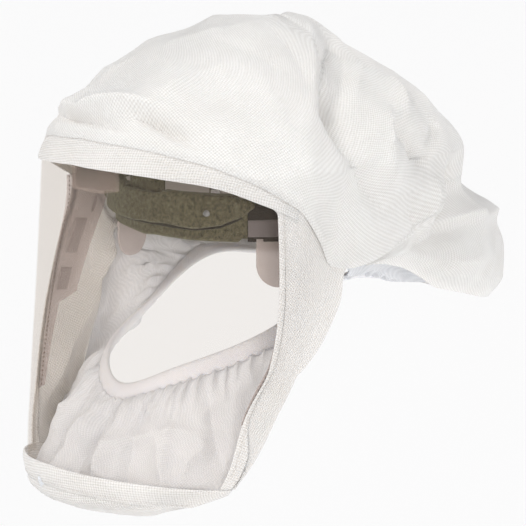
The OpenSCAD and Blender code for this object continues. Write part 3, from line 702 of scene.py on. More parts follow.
def steel(name):
    n = Nodes(name)
    brushed = n.noise(600, 2, 0.6)
    return n.finish(
        Base_Color=n.ramp(brushed, srgb(120, 123, 124), srgb(176, 178, 178)), Metallic=1.0,
        Roughness=n.stretch(brushed, 0.25, 0.45), Normal=n.bump(brushed, 0.00003, 0.5),
    )


CLOTH_WHITE = nonwoven("crown_cloth", (243, 241, 238), (208, 204, 199), (0.0021, 0.0024), 0.22, 1.0)
FRAME_WHITE = nonwoven("frame_cloth", (241, 237, 233), (200, 194, 188), (0.0024, 0.0024), 0.28, 1.1, 0.85)
SEAL_WHITE = nonwoven("seal_cloth", (243, 244, 248), (208, 209, 214), (0.0021, 0.0021), 0.16, 0.8, 0.75)
ELASTIC_WHITE = nonwoven("elastic_casing", (250, 250, 254), (228, 227, 233), (0.0012, 0.0019), 0.18, 0.6, 0.9)
THREAD = webbing("thread", (226, 221, 216), (190, 184, 179), 0.0004)
STAY_THREAD = webbing("stay_thread", (126, 104, 92), (96, 78, 68), 0.0004)
OLIVE = felt("olive_felt", (124, 119, 93), (56, 53, 38))
# near-black felt for a thin strip under the forehead pad's outer lobe: painted shade in the gap between the
# lobes
GAP_SHADE = felt("painted_gap_shade", (34, 31, 24), (16, 14, 10))
HOOK = hook_tape("hook_tape", (30, 17, 10), (7, 4, 3))
LINER = nonwoven("nape_liner", (214, 205, 196), (176, 166, 156), (0.0016, 0.0016), 0.2, 0.7)
STRAP = webbing("strap_tape", (158, 150, 150), (116, 108, 110), 0.0009)
VISOR = film("visor_sheet", (0.954, 0.942, 0.93), (214, 200, 184), 0.03)
STAY = film("stay_film", (0.955, 0.925, 0.915), (232, 220, 216), 0.3, 0.25, 0.03)
TAB = film("tab_plastic", (0.93, 0.9, 0.89), (238, 226, 222), 0.55, 0.3, 0.04)
BRACKET = plastic("bracket_plastic", (206, 202, 198), (184, 180, 176), 0.4)
OUTLET = film("outlet_plastic", (0.95, 0.925, 0.91), (216, 202, 194), 0.2, 0.3, 0.03)
BAND = plastic("band_plastic", (74, 70, 70), (52, 49, 50), 0.45)
DUCT = plastic("duct_film", (222, 221, 219), (204, 203, 201), 0.35)
INLET = plastic("inlet_plastic", (98, 101, 104), (80, 82, 85), 0.42)
GASKET = plastic("gasket_rubber", (34, 34, 34), (22, 22, 22), 0.7, 0.00008)
RIVET = steel("rivet_metal")


# ---------------------------------------------------------------- the hood's outer cloth
def rear_curl(a, w):
    """How far the rear skirt's edge turns in under itself, in millimetres."""
    turn = np.abs(signed(a))
    above = w - hem_column(1, hem_place(turn))
    return 6 * smooth((14 - above) / 14) * smooth((turn - NOTCH_ANGLE) / 14)


# Arch that the cross strap reaches when the crown straps are let out: half width, foot, rise and half depth
SWEPT_X, SWEPT_FOOT, SWEPT_RISE, SWEPT_Y = 86.2, 46, 50.2, 15


def clear_of_harness(points, out):
    """Keeps the cloth outside the arch that the cross strap sweeps."""
    x, y, z = np.moveaxis(points, -1, 0)
    reach = np.hypot(x / SWEPT_X, np.maximum(z - SWEPT_FOOT, 0) / SWEPT_RISE)
    near = (1 - smooth((np.abs(y - CROSS_Y) - SWEPT_Y) / 12)) * smooth((z + 4) / 10)
    return points + out * (80 * np.maximum(1 - reach, 0) * near)[..., None]


def cloth_points(a, w, depth, loose):
    """Points of the cloth, with its folds; depth is how far it lies under the plain surface."""
    points, out = hood(a, w), hood_out(a, w)
    lift = relief(points, out, loose)
    return clear_of_harness(points + out * (lift - depth)[..., None], out)


def crown_angles():
    front = np.linspace(-NOTCH_ANGLE, NOTCH_ANGLE, 151)
    rear = np.linspace(NOTCH_ANGLE, 360 - NOTCH_ANGLE, 171)
    return front, rear


def from_inlet(a, w):
    return np.linalg.norm(hood(a, w) - INLET_AT, axis=-1)


def looseness(a, w):
    """Cloth held close along the frame, the crown seam and the inlet, and free above and behind them."""
    turn = np.abs(signed(a))
    above = w - curve(CROWN_SEAM, turn)
    front = smooth((NOTCH_ANGLE + 6 - turn) / 10)
    free = 1 - front * (1 - (0.1 + 0.9 * smooth(above / 8)))
    return free * smooth((from_inlet(a, w) - INLET_HELD) / 24)


LAP = 2.4  # how far the crown cloth laps over the frame in front


def crown_cloth():
    front, rear = crown_angles()
    rows = np.linspace(0, 1, 120) ** 0.9
    angle, rise = np.meshgrid(np.concatenate([front[:-1], rear[:-1]]), rows)
    turn = np.abs(signed(angle))
    lap = LAP * smooth((NOTCH_ANGLE + 2 - turn) / 4)
    low = curve(CROWN_SEAM, turn) - lap
    w = mix(low, APEX_W - 0.7, rise)
    fade = smooth((APEX_W - w) / 12)
    outer = cloth_points(angle, w, -0.3 - 0.8 * lap / LAP, looseness(angle, w) * (0.35 + 0.65 * fade))
    seam_front = smooth((NOTCH_ANGLE - turn) / 8)
    puff = 2.2 * seam_front * smooth((w - low) / 5) * smooth((26 - w + low) / 20)
    outer = outer + hood_out(angle, w) * puff[..., None]
    wrapped = np.concatenate([outer[:, -1:], outer, outer[:, :1]], 1)
    around = (wrapped[:, 2:] - wrapped[:, :-2]) / 2
    out = unit(np.cross(around, np.gradient(outer, axis=0)))
    piece = thick_sheet("crown_cloth", outer, outer - CLOTH * out, CLOTH_WHITE, wrap=True, cap=True, turn=78,
                        plain=hood(angle, w))
    put_cloth(piece, "hood_fabric", outer, ["crown_panel"])


def cut_round(piece, centre, axis, radius):
    """Cuts a round hole through a piece along an axis."""
    turn = Vector(axis).to_track_quat("Z", "Y").to_matrix().to_4x4()
    bm = bmesh.new()
    bmesh.ops.create_cone(
        bm, cap_ends=True, segments=64, radius1=radius * MM, radius2=radius * MM, depth=60 * MM,
        matrix=Matrix.Translation(Vector(centre * MM)) @ turn)
    mesh = bpy.data.meshes.new("cutter")
    bm.to_mesh(mesh)
    bm.free()
    cutter = bpy.data.objects.new("cutter", mesh)
    bpy.context.scene.collection.objects.link(cutter)
    hole = piece.modifiers.new("hole", "BOOLEAN")
    hole.object, hole.solver, hole.operation = cutter, "EXACT", "DIFFERENCE"
    cut = piece.evaluated_get(bpy.context.evaluated_depsgraph_get())
    made = bpy.data.meshes.new_from_object(cut)
    piece.modifiers.clear()
    piece.data = made
    bpy.data.objects.remove(cutter)


def rear_cloth():
    rear = crown_angles()[1][2:-2]
    angle, rise = np.meshgrid(rear, np.linspace(0, 1, 64))
    turn = np.abs(signed(angle))
    w = mix(hem_column(1, hem_place(turn)), curve(CROWN_SEAM, turn), rise)
    out = hood_out(angle, w)
    outer = cloth_points(angle, w, -0.3, looseness(angle, w))
    outer = outer - (1.6 * (1 - smooth((from_inlet(angle, w) - INLET_HELD) / 12)))[..., None] * out
    outer = outer - rear_curl(angle, w)[..., None] * unit(out * [1, 1, 0])
    inner = outer - CLOTH * normals_of(outer)
    piece = thick_sheet("rear_cloth", outer, inner, CLOTH_WHITE, turn=70, plain=hood(angle, w))
    cut_round(piece, INLET_AT, INLET_AXIS, INLET_HOLE)
    put_cloth(piece, "hood_fabric", outer, ["rear_skirt"])


STRIP_ANGLE = 13 / MM_PER_DEGREE


def strip_reach(z):
    """Width in degrees of the strip beside the window that shows; the cheek cloth laps over the rest."""
    return mix(STRIP_ANGLE, 2.5, smooth((z + 150) / 30))


FRAME_LOOSE = 0.16  # looseness of the cloth on the frame round the window


def panel(name, place, across, up, hides, depth=0.0, puff=0.0, turn=45, loose=FRAME_LOOSE):
    """A panel of the hood: place(u, v) gives its angle and level for u from -1 to 1 and v from 0 to 1."""
    u, v = np.meshgrid(np.linspace(-1, 1, across), np.linspace(0, 1, up))
    a, w = place(u, v)
    bulge = puff * (1 - u**4) * (1 - (2 * v - 1) ** 4)
    outer = cloth_points(a, w, depth - bulge, np.full(a.shape, loose))
    piece = thick_sheet(name, outer, outer - CLOTH * normals_of(outer), FRAME_WHITE, turn=turn)
    put_cloth(piece, "hood_fabric", outer, [hides])


# Per side: level of the cheek's front corner, its place along the hem, and how loose the cheek hangs
CHEEKS = {"left": (-162, 4.15, 0.25), "right": (-165, 4.05, 0.8)}
CHEEK_TOP, SEAM_LAP, STRIP_LAP = 6, 1.5, 0.8


def side_cloth(name, side):
    """Cheek panel, from the strip beside the window back to the hem and up to the crown seam."""
    corner_z, corner_t, loose = CHEEKS[name]

    def place(u, v):
        t = (1 + side * u) / 2
        front_z = mix(corner_z, CHEEK_TOP, v)
        hem_t = mix(corner_t, NOTCH, v)
        a = mix(window_edge(front_z, side) + strip_reach(front_z) - STRIP_LAP, hem_column(0, hem_t), t)
        w = mix(front_z, hem_column(1, hem_t), t)
        top = mix(CHEEK_TOP, hem_column(1, NOTCH), t)
        seam = curve(CROWN_SEAM, a) + SEAM_LAP
        return side * a, np.minimum(w + v**4 * (seam - top), seam)

    panel(f"cheek_cloth_{name}", place, 60, 170, f"side_panel_{name}", 0, 0.3, 64 * side, loose)


def binding_cloth(name, side):
    """Strip beside the window; near its top its window edge turns forward in a small round corner."""
    corner_r = 3

    def place(u, v):
        z = mix(-167, 3, v)
        corner = corner_r - np.sqrt(corner_r**2 - np.clip(z, 0, corner_r) ** 2)
        t = (1 + side * u) / 2
        a = window_edge(z, side) - (1 - t) * corner / MM_PER_DEGREE + strip_reach(z) * t
        return side * a, mix(curve(WINDOW_BOTTOM, a), curve(WINDOW_TOP, a), v)

    panel(f"window_binding_{name}", place, 14, 150, f"visor_binding_{name}", 0.25, 0.3, 64 * side)


def brow_cloth():
    reach = float(window_edge(5) + STRIP_ANGLE)

    def place(u, v):
        a = u * reach
        turn = np.abs(a)
        return a, mix(curve(WINDOW_TOP, turn), curve(CROWN_SEAM, turn), v)

    panel("brow_cloth", place, 200, 16, "brow_band", -0.3, 0.8, 38)


def chin_cloth():
    seam_end, seam_z = CHIN_SEAM[-1]
    reach, corner_z = 79, -173

    def band(u, v):
        a = u * reach
        turn = np.abs(a)
        rise = mix(seam_z, corner_z, (turn - seam_end) / (reach - seam_end))
        low = np.where(turn < seam_end, curve(CHIN_SEAM, turn), rise)
        return a, mix(low, curve(WINDOW_BOTTOM, turn), v)

    def below(u, v):
        a = u * (seam_end - 1)
        turn = np.abs(a)
        hem = np.interp(turn, [row[0] for row in HEM], [row[1] for row in HEM])
        return a, mix(hem, curve(CHIN_SEAM, turn), v)

    panel("chin_band_cloth", band, 180, 16, "chin_band", -0.3, 1.0, 40, 0.1)
    panel("chin_cloth", below, 160, 20, "chin_panel", 0.8, 0.6, 42, 0.5)


# ---------------------------------------------------------------- stitches
STITCH_LIFT = 0.75  # height of the rows on the puffed cloth over its plain surface


def stitch_row(name, path, normals, material=THREAD, slot="hood_fabric", length=2.2, gap=1.0, wide=0.32):
    """A row of short thread bars along a path that lies on the cloth."""
    at = np.concatenate([[0], np.cumsum(np.linalg.norm(np.diff(path, axis=0), axis=1))])

    def along(rows, s):
        return np.array([np.interp(s, at, rows[:, c]) for c in range(3)])

    vertices, faces = [], []
    sides, rings = 6, 4
    for start in np.arange(0.5, at[-1] - length, length + gap):
        base = len(vertices)
        for k in range(rings):
            s = start + length * (k / (rings - 1))
            middle = along(path, s)
            up = unit(along(normals, s))
            across = np.cross(unit(along(path, s + 0.2) - middle), up)
            share, height = (0.55, 0.05) if k in (0, rings - 1) else (1.0, 0.22)
            for m in range(sides):
                b = 2 * math.pi * m / sides
                spoke = math.cos(b) * across + math.sin(b) * up
                vertices.append(middle + up * height + wide * share * spoke)
        faces += grid_quads(rings, sides, base, True).tolist()
        faces.append(range(base + sides - 1, base - 1, -1))
        faces.append(range(base + (rings - 1) * sides, base + rings * sides))
    put(new_object(name, vertices, faces, None, material), HOOD, slot)


def stitch_cloth(name, a, w, lift):
    """A row of stitches on the cloth, through the hood's angles a and levels w."""
    points = cloth_points(a[None], w[None], -lift, np.full((1, len(a)), FRAME_LOOSE))
    stitch_row(name, points[0], hood_out(a, w))


def frame_stitching():
    z = np.linspace(-160, 4, 220)
    for name, side in SIDES:
        stitch_cloth(f"window_stitches_{name}", side * (window_edge(z, side) + 3.6 / MM_PER_DEGREE), z, 0.5)
    a = np.linspace(-76, 76, 260)
    stitch_cloth("brow_stitches", a, curve(CROWN_SEAM, np.abs(a)) - 2.6, STITCH_LIFT)
    a = np.linspace(-66, 66, 240)
    stitch_cloth("chin_stitches", a, curve(CHIN_SEAM, np.abs(a)) + 2.4, STITCH_LIFT)


# ---------------------------------------------------------------- visor and stays
# Depths of the front and the back of the clear sheet and of the stays under the hood's plain surface
VISOR_LAP, VISOR_DEPTHS, STAY_DEPTHS = 4, (1.9, 2.5), (3.3, 4.0)


def visor_piece():
    u, v = np.meshgrid(np.linspace(-1, 1, 121), np.linspace(0, 1, 61))
    a = u * (window_edge(mix(-170, 8, v), u) + VISOR_LAP / MM_PER_DEGREE)
    turn = np.abs(a)
    w = mix(curve(WINDOW_BOTTOM, turn) - VISOR_LAP, curve(WINDOW_TOP, turn) + VISOR_LAP, v)
    front, back = (inside(a, w, depth) for depth in VISOR_DEPTHS)
    put(thick_sheet("visor_sheet", front, back, VISOR), HOOD, "visor_clear", "visor")


# Level and width in degrees down a stay's stepped rear edge; on the wearer's left the width is also
# limited, and on the right the stay starts further forward than the window's edge
STAY_STEPS = [(6, 6), (-2, 6), (-2.01, 16), (-74, 16), (-77, 10), (-78, 6), (-128, 4)]
STAY_LIMIT = [(-74, 7), (-30, 14)]
STAY_AHEAD = [(-128, 1.4), (-80, 2.4), (-40, 4.2), (6, 6)]
# Pockets welded on the stay: highest and lowest level, and the angles from the window's edge
STAY_POCKETS = {"upper": (-26, -48, 3.5, 10.5), "lower": (-57, -71, 2.5, 10), "slot": (-13, -23, 11, 12)}


def stay_piece(name, side):
    """Translucent tab behind the cheek, with a stepped rear edge and a row of stitches."""
    z = np.linspace(6, -128, 140)
    reach = np.interp(z, *zip(*STAY_STEPS[::-1]))
    ahead = 0 * z
    if side > 0:
        reach = np.minimum(reach, np.interp(z, *zip(*STAY_LIMIT)))
    else:
        ahead = np.interp(z, *zip(*STAY_AHEAD))
    start = window_edge(z, side) + 0.6 - ahead
    t = np.linspace(0, 1, 12)
    a = side * (start[:, None] + (reach + ahead)[:, None] * t[None])
    w = np.repeat(z[:, None], len(t), 1)
    if side > 0:
        a, w = a[::-1], w[::-1]
    front, back = (inside(a, w, depth) for depth in STAY_DEPTHS)
    put(thick_sheet(f"visor_stay_film_{name}", front, back, STAY), HOOD, "stay_film", f"visor_stay_{name}")
    line = side * (start + 1.1)
    stitch_row(f"stay_stitches_{name}", inside(line, z, STAY_DEPTHS[1]), -hood_out(line, z), STAY_THREAD,
               "stay_film", 1.5, 1.5, 0.3)
    for label, (high, low, near, far) in STAY_POCKETS.items():
        u, v = np.meshgrid(np.linspace(0, 1, 13), np.linspace(0, 1, 19))
        level = mix(low, high, v) + 2.0 * u
        angle = side * (window_edge(level, side) + mix(near, far, u if side > 0 else 1 - u))
        top = 4.1 + 0.9 * (np.minimum(np.minimum(u, 1 - u), np.minimum(v, 1 - v)) > 0.01)
        pocket = thick_sheet(f"stay_pocket_{label}_{name}", inside(angle, level, 4.05),
                             inside(angle, level, top), STAY)
        put(pocket, HOOD, "stay_film", f"visor_stay_{name}")


# ---------------------------------------------------------------- gathered neck seal
# Gathers round the elastic, their depth, and the degrees that count as much as the whole way to the elastic
GATHERS, GATHER_DEPTH, SEAL_UP = 80, 2.6, 60
# Loose folds of the face seal: angle round the opening and share of the way from hem to elastic at both
# ends, how far the cloth stands out, and how many degrees wide the fold is on its two sides
SEAL_FOLDS = [
    (-62, 0.0, -50, 0.85, 6, 3, 7), (-44, 0.1, -36, 0.9, -5, 5, 3), (-27, 0.0, -30, 0.95, 6, 2.5, 6),
    (-14, 0.05, -20, 0.9, -5, 4, 2.5), (-6, 0.0, -3, 0.95, 6, 3, 5), (9, 0.0, 4, 0.9, -5, 3.5, 3),
    (17, 0.0, 15, 0.95, 6.5, 2.2, 6), (30, 0.05, 24, 0.9, -4.5, 4, 2.5), (41, 0.0, 36, 0.9, 5, 3, 5),
    (56, 0.0, 47, 0.9, -4, 4, 3), (72, 0.0, 62, 0.85, 4, 3, 5), (-80, 0.0, -70, 0.9, -5, 4, 4),
    (-98, 0.0, -86, 0.9, 5, 4, 5), (20, 0.5, -10, 0.12, 3, 3, 5), (-35, 0.45, -60, 0.2, 4, 3, 6),
]


def seal_folds(phase, v):
    """Lift of the seal's loose folds at angles phase and shares v of the way to the elastic."""
    lift = np.zeros(v.shape)
    for p0, v0, p1, v1, height, left, right in SEAL_FOLDS:
        run = np.array([p1 - p0, (v1 - v0) * SEAL_UP])
        length = np.hypot(*run)
        ahead = run / length
        dx, dy = phase - p0, (v - v0) * SEAL_UP
        along = (dx * ahead[0] + dy * ahead[1]) / length
        across = dx * ahead[1] - dy * ahead[0]
        width = np.where(across > 0, right, left)
        ends = smooth((along + 0.12) / 0.25) * smooth((1.12 - along) / 0.25)
        lift += height * np.exp(-((np.abs(across) / width) ** 1.15)) * ends
    return lift


def seal_edge(t, side):
    """Edge of the seal, a little inside the hood's cloth; both sides are returned on the wearer's left."""
    inset = 1.5 * smooth((t - 4.2) / 1.2) * (1 - smooth((t - 8.5) / 0.5))
    a, level = hem_column(0, t) - inset, hem_column(1, t) + 7
    cheek = mix(0.5, np.where(side > 0, CHEEKS["left"][2], CHEEKS["right"][2]), smooth((t - 3.6) / 1.2))
    loose = np.where(t < NOTCH, cheek, looseness(a, level))
    outer = mirrored(cloth_points(side * a, level, 1.7, loose), side)
    return outer - rear_curl(a, level)[..., None] * unit(hood_out(a, level) * [1, 1, 0])


def seal_grid(t_from, t_to, across, up, bulge, seed):
    """Grid of the gathered cloth between the hem and the neck elastic."""
    u, v = np.meshgrid(np.linspace(-1, 1, across), np.linspace(0, 1, up))
    t = mix(t_from, t_to, np.abs(u))
    side = np.where(u < 0, -1.0, 1.0)
    outer = seal_edge(t, side)
    ring_angle = hem_column(2, t)
    ring = neck(ring_angle)
    edge = ring + (ELASTIC_SHIFT + ELASTIC_HALF - 1.2) * unit(outer - ring)
    points = mix(outer, edge, mix(v, smooth(v), 0.35)[..., None])
    r = np.radians(hem_column(0, t))
    sag = np.stack([0 * r, -np.cos(r), -0.4 * np.abs(np.cos(r))], -1)
    points = mirrored(points + (bulge * 4 * v * (1 - v))[..., None] * sag, side)
    phase = side * ring_angle
    flat = np.stack([phase.ravel() * 1.4, np.zeros(phase.size), v.ravel() * 6], -1)
    warp = 3.0 * noise(flat, 22, seed).reshape(phase.shape)
    strength = 0.6 + 0.5 * noise(flat, 9, seed + 4).reshape(phase.shape)
    length = 0.62 + 0.22 * noise(flat * [1, 1, 0], 7, seed + 6).reshape(phase.shape)
    pleat = 1 - 2 * np.abs(np.sin(np.radians((phase + warp) * GATHERS / 2)))
    grip = smooth((v - length) / 0.3) * (1 - 0.5 * smooth((v - 0.93) / 0.07))
    broad = 1 - 2 * np.abs(np.sin(np.radians((phase + 2.2 * warp) * 7 + 40 * v)))
    hang = np.stack([phase.ravel() * 1.1, v.ravel() * 30, 0 * v.ravel()], -1)
    drape = noise(hang, 24, seed + 8).reshape(v.shape)
    crumple = 1 - 2 * np.abs(noise(points.reshape(-1, 3) @ CREASE_TURN.T, 25, seed + 11)).reshape(v.shape)
    free = np.sin(math.pi * np.clip(v, 0, 1)) ** 0.7
    lift = GATHER_DEPTH * pleat * strength * grip + free * (1.2 * broad + 3.4 * drape + 4.5 * crumple)
    lift = lift + seal_folds(phase, v) * smooth(v / 0.12) * smooth((1 - v) / 0.1)
    return points + normals_of(points) * lift[..., None]


def seal_cloth(name, node, t_from, t_to, across, up, bulge, seed):
    outer = seal_grid(t_from, t_to, across, up, bulge, seed)
    if t_from > t_to:
        outer = outer[:, ::-1]
    piece = thick_sheet(name, outer, outer - CLOTH * normals_of(outer), SEAL_WHITE, turn=20)
    put_cloth(piece, "seal_fabric", outer, [node])


def seal_side(angle):
    """Direction from the neck elastic to the hem of the hood, along the seal, for angles of the elastic."""
    t = hem_place(np.abs(signed(angle)), 2)
    hem = mirrored(hood(hem_column(0, t), hem_column(1, t)), np.where(signed(angle) < 0, -1.0, 1.0))
    return unit(hem - neck(angle))


def neck_elastic():
    """Wide elastic hem: a flat closed band whose edges ripple where the cloth is gathered on to it."""
    angle = np.linspace(0, 360, 1081)[:-1]
    centre = neck(angle)
    ahead = unit(np.roll(centre, -1, 0) - np.roll(centre, 1, 0))
    away = seal_side(angle)
    spread = 20
    window = np.hanning(2 * spread + 1) / np.hanning(2 * spread + 1).sum()
    closed = np.concatenate([away[-spread:], away, away[:spread]])
    away = np.stack([np.convolve(column, window, "valid") for column in closed.T], 1)
    away = unit(away - ahead * np.sum(ahead * away, 1, keepdims=True))
    across = np.cross(ahead, away)
    flat = np.stack([angle * 1.5, 0 * angle, 0 * angle], -1)
    gather = np.sin(np.radians(angle * 58 + 60 * noise(flat, 18, 30))) * (0.5 + 0.5 * noise(flat, 10, 31))
    sides = 18
    b = 2 * math.pi * np.arange(sides) / sides
    reach = ELASTIC_HALF * np.cos(b)[None] * (1 + 0.05 * gather[:, None] * (np.cos(b) > 0.3))
    swell = ELASTIC_THICK * np.sin(b)[None] * (1 + 0.35 * gather[:, None] * smooth(np.cos(b)))
    points = centre[:, None] + away[:, None] * (reach + ELASTIC_SHIFT)[..., None]
    points = points + across[:, None] * swell[..., None]
    n = len(angle)
    faces = grid_quads(n + 1, sides, 0, True) % (n * sides)
    along = np.linalg.norm(np.diff(centre, axis=0), axis=1).mean() * np.arange(n)
    uv = np.stack([np.repeat(along, sides), np.tile(b * ELASTIC_HALF, n)], -1)
    piece = new_object("neck_elastic_edge", points.reshape(-1, 3), faces, uv, ELASTIC_WHITE)
    fix_normals(piece)
    put(piece, HOOD, "elastic", "neck_elastic")


# ---------------------------------------------------------------- head suspension
def headband(start, way):
    """Route round half of the headband: s is 0 at its middle, in degrees, and past 90 runs straight in mm."""
    def route(s, off):
        s, off = np.broadcast_arrays(np.asarray(s, float), np.asarray(off, float))
        r = np.radians(np.clip(s, -90, 90))
        straight = np.maximum(np.abs(s) - 90, 0)
        y = start - way * ((BAND_RY + off) * np.cos(r) - straight)
        return np.stack([way * (BAND_RX + off) * np.sin(r), y], -1)
    return route


band_front, band_rear = headband(BAND_FRONT, 1), headband(BAND_BACK, -1)


def rounded(off0, off1, z0, z1, round_r, steps=5):
    """Points round a rounded rectangle in the (off, z) plane."""
    r = min(round_r, abs(off1 - off0) / 2.01, abs(z1 - z0) / 2.01)
    corners = (off1 - r, z1 - r), (off0 + r, z1 - r), (off0 + r, z0 + r), (off1 - r, z0 + r)
    out = []
    for quarter, (cx, cz) in enumerate(corners):
        for k in range(steps):
            b = math.radians(90 * quarter + 90 * k / (steps - 1))
            out.append((cx + r * math.cos(b), cz + r * math.sin(b)))
    return out


def split_sides(section, parts=8):
    """Adds points along the four sides of a rounded section so that it can be bulged."""
    out = []
    n = len(section)
    for i, (x, z) in enumerate(section):
        nx, nz = section[(i + 1) % n]
        out.append((x, z))
        if (i + 1) % (n // 4) == 0:
            out += [(mix(x, nx, k / parts), mix(z, nz, k / parts)) for k in range(1, parts)]
    return out


def sweep(name, stations, route, section, material, bumps=None):
    """A solid swept along route(s, off); section(s) gives its outline in (off, z) at each station."""
    rings, uvs = [], []
    length = 0.0
    for s in stations:
        sec = np.array(section(s), float)
        ring = np.concatenate([route(np.full(len(sec), s), sec[:, 0]), sec[:, 1:]], 1)
        if rings:
            length += np.linalg.norm(ring.mean(0) - rings[-1].mean(0))
        rings.append(ring)
        uvs.append(ring_uv(ring, length))
    return tube(name, rings, uvs, material, bumps, 41)


def end_round(s, reach, soft):
    """1 along the pad, falling to 0 at its rounded ends."""
    x = np.clip((reach - abs(s)) / soft, 0, 1)
    return math.sqrt(max(1 - (1 - x) ** 2, 0.0004))


# The outer lobe's edges: levels against degrees round the headband, the wearer's left positive. The lower
# one hangs lowest left of centre; the upper one dips in the middle for the crown strap.
LOBE_LOW = [
    (-58, -3), (-50, -7.5), (-20, -10.5), (0, -11), (15, -11.2), (30, -11.8), (42, -9.5), (50, -5), (58, 2),
]
LOBE_HIGH = [(-58, 8), (-45, 11.6), (-17, 11.2), (-11, 8.2), (11, 8.2), (17, 10.4), (45, 8.8), (58, 6.5)]


def level_of(table, s):
    return float(np.interp(s, *zip(*table)))


def comfort_pad():
    """Felt folded over the headband: a tall inner lobe against the forehead, a shorter one outside."""
    def inner(s):
        e = end_round(s, 54.5, 5)
        middle, half = -6.8, 14.2 * e
        return split_sides(rounded(-5.6, -0.1, middle - half, middle + half, 2.6))

    def outer(s):
        e = end_round(s, 57.5, 7)
        low = mix(3.0, level_of(LOBE_LOW, s), e ** 1.2)
        high = mix(5, level_of(LOBE_HIGH, s), min(1, e * 1.15))
        out = 4.6 * smooth((abs(s) - 46) / 9)
        lean = 2.4 * math.cos(math.radians(s)) ** 2
        section = split_sides(rounded(2.3 + out * 0.6, 6.4 + out, low, high, 1.9))
        return [(off + lean * smooth((high - z) / max(high - low, 1e-3)), z) for off, z in section]

    def fold(s):
        return split_sides(rounded(-4.6, 5.4, 6.1, 9.2, 1.5))

    # Thin dark strip just under the outer lobe's lower edge: painted shade in the gap between the two lobes,
    # not a real layer
    def shade(s):
        low = level_of(LOBE_LOW, s)
        return rounded(1.9, 4.6, low - 2.0, low + 3, 0.6)

    def lobe(name, stations, section, material, bumps):
        piece = sweep(f"forehead_{name}", np.linspace(*stations), band_front, section, material, bumps)
        put(piece, HOOD, "olive_felt", "comfort_pad")

    lobe("gap_shade_strip", (-52, 52, 120), shade, GAP_SHADE, (0.3, 10))
    lobe("felt_inner", (-54.3, 54.3, 150), inner, OLIVE, (0.7, 14))
    lobe("felt_outer", (-57.3, 57.3, 150), outer, OLIVE, (0.9, 16))
    lobe("felt_fold_left", (12, 50, 50), fold, OLIVE, (0.5, 12))
    lobe("felt_fold_right", (-50, -12, 50), fold, OLIVE, (0.5, 12))


def tape(name, route, stations, off, thick, low, high, material):
    def section(s):
        return split_sides(rounded(off, off + thick, low, high, 0.45, 4))
    return sweep(name, stations, route, section, material, (0.25, 18))


def headband_tapes():
    for name, side in SIDES:
        def front(label, a, b, *rest):
            s = np.linspace(a, b, 60)
            return tape(f"{label}_{name}", band_front, s if side > 0 else -s[::-1], *rest)

        def rear(label, a, b, *rest):
            s = np.linspace(a, b, 40)
            return tape(f"{label}_{name}", band_rear, s if side < 0 else -s[::-1], *rest)

        put(front("hook_tape", 54.8, 108, 2.1, 1.1, -20, 5.2, HOOK), HOOD, "hook_tape", f"hook_patch_{name}")
        put(front("anchor_tape", 55, 104, 3.3, 1.1, -16.8, -6.2, STRAP), HOOD, "strap_webbing",
            f"strap_anchor_{name}")
        liner = put(front("band_liner", 57, 138, -1.15, 1.0, -17.4, 5.4, LINER), HOOD, "olive_felt")
        put(rear("sliding_tape", 88, 152, 5.1, 1.4, -13, -1, STRAP), REAR, "strap_webbing", "rear_headband")
        put(rear("sliding_tape_end", 135, 151, 6.6, 0.8, -12, -2, HOOK), REAR, "hook_tape",
            f"strap_end_{name}")
    cradle = tape("nape_cradle", band_rear, np.linspace(-90, 90, 120), 5.1, 1.4, -20, 6, BRACKET)
    put(cradle, REAR, "strap_webbing", "rear_headband")

    def cushion(s):
        e = end_round(s, 94, 8)
        return split_sides(rounded(0.4, 5.0, -7 - 15.5 * e, -7 + 15.5 * e, 2.2))
    pad = sweep("nape_felt", np.linspace(-93.8, 93.8, 150), band_rear, cushion, LINER, (0.7, 15))
    put(pad, REAR, "olive_felt", "rear_pad")


# The crown straps run straight up to LEG_END and then over an arch that rises by CROWN_RISE
LEG_END, CROWN_RISE, LEG_OFF, CROSS_Y = 34, 45, 2.4, 5
FRONT_RUN = -BAND_FRONT + BAND_RY + CROSS_Y + LEG_OFF
CROSS_RUN, CROSS_RISE = BAND_RX + LEG_OFF, CROWN_RISE + 1.3


def strap_sweep(name, stations, side, thick, half, material, round_r=0.45, bumps=(0.12, 20), lift=0.0,
                taper=0.0):
    """A strap swept over the crown: from the front if side is 0, or from the side 1 or -1.

    Stations below 0 are millimetres down its straight leg, the others degrees of the arch.
    """
    run, rise = (CROSS_RUN, CROSS_RISE) if side else (FRONT_RUN, CROWN_RISE)
    rings, uvs = [], []
    for i, s in enumerate(stations):
        e = end_round(i - (len(stations) - 1) / 2, len(stations) / 2, taper) if taper else 1.0
        off, across = np.array(split_sides(rounded(lift, lift + thick, -half * e, half * e, round_r, 4))).T
        r = math.radians(max(s, 0))
        along = (run + off) * math.cos(r)
        up = LEG_END + (rise + off) * math.sin(r) + min(s, 0)
        place = [along, CROSS_Y + across, up] if side else [across, CROSS_Y - along, up]
        rings.append(np.stack(place, -1))
        uvs.append(ring_uv(rings[-1], 1.2 * i))
    piece = tube(name, rings, uvs, material, bumps, 47)
    if side < 0:
        flip_x(piece)
    return piece


def leg_and_arch(leg, finish):
    """Stations up a strap's leg and over its arch."""
    return np.concatenate([np.linspace(-leg, -1, 14), np.linspace(0, finish, 90)])


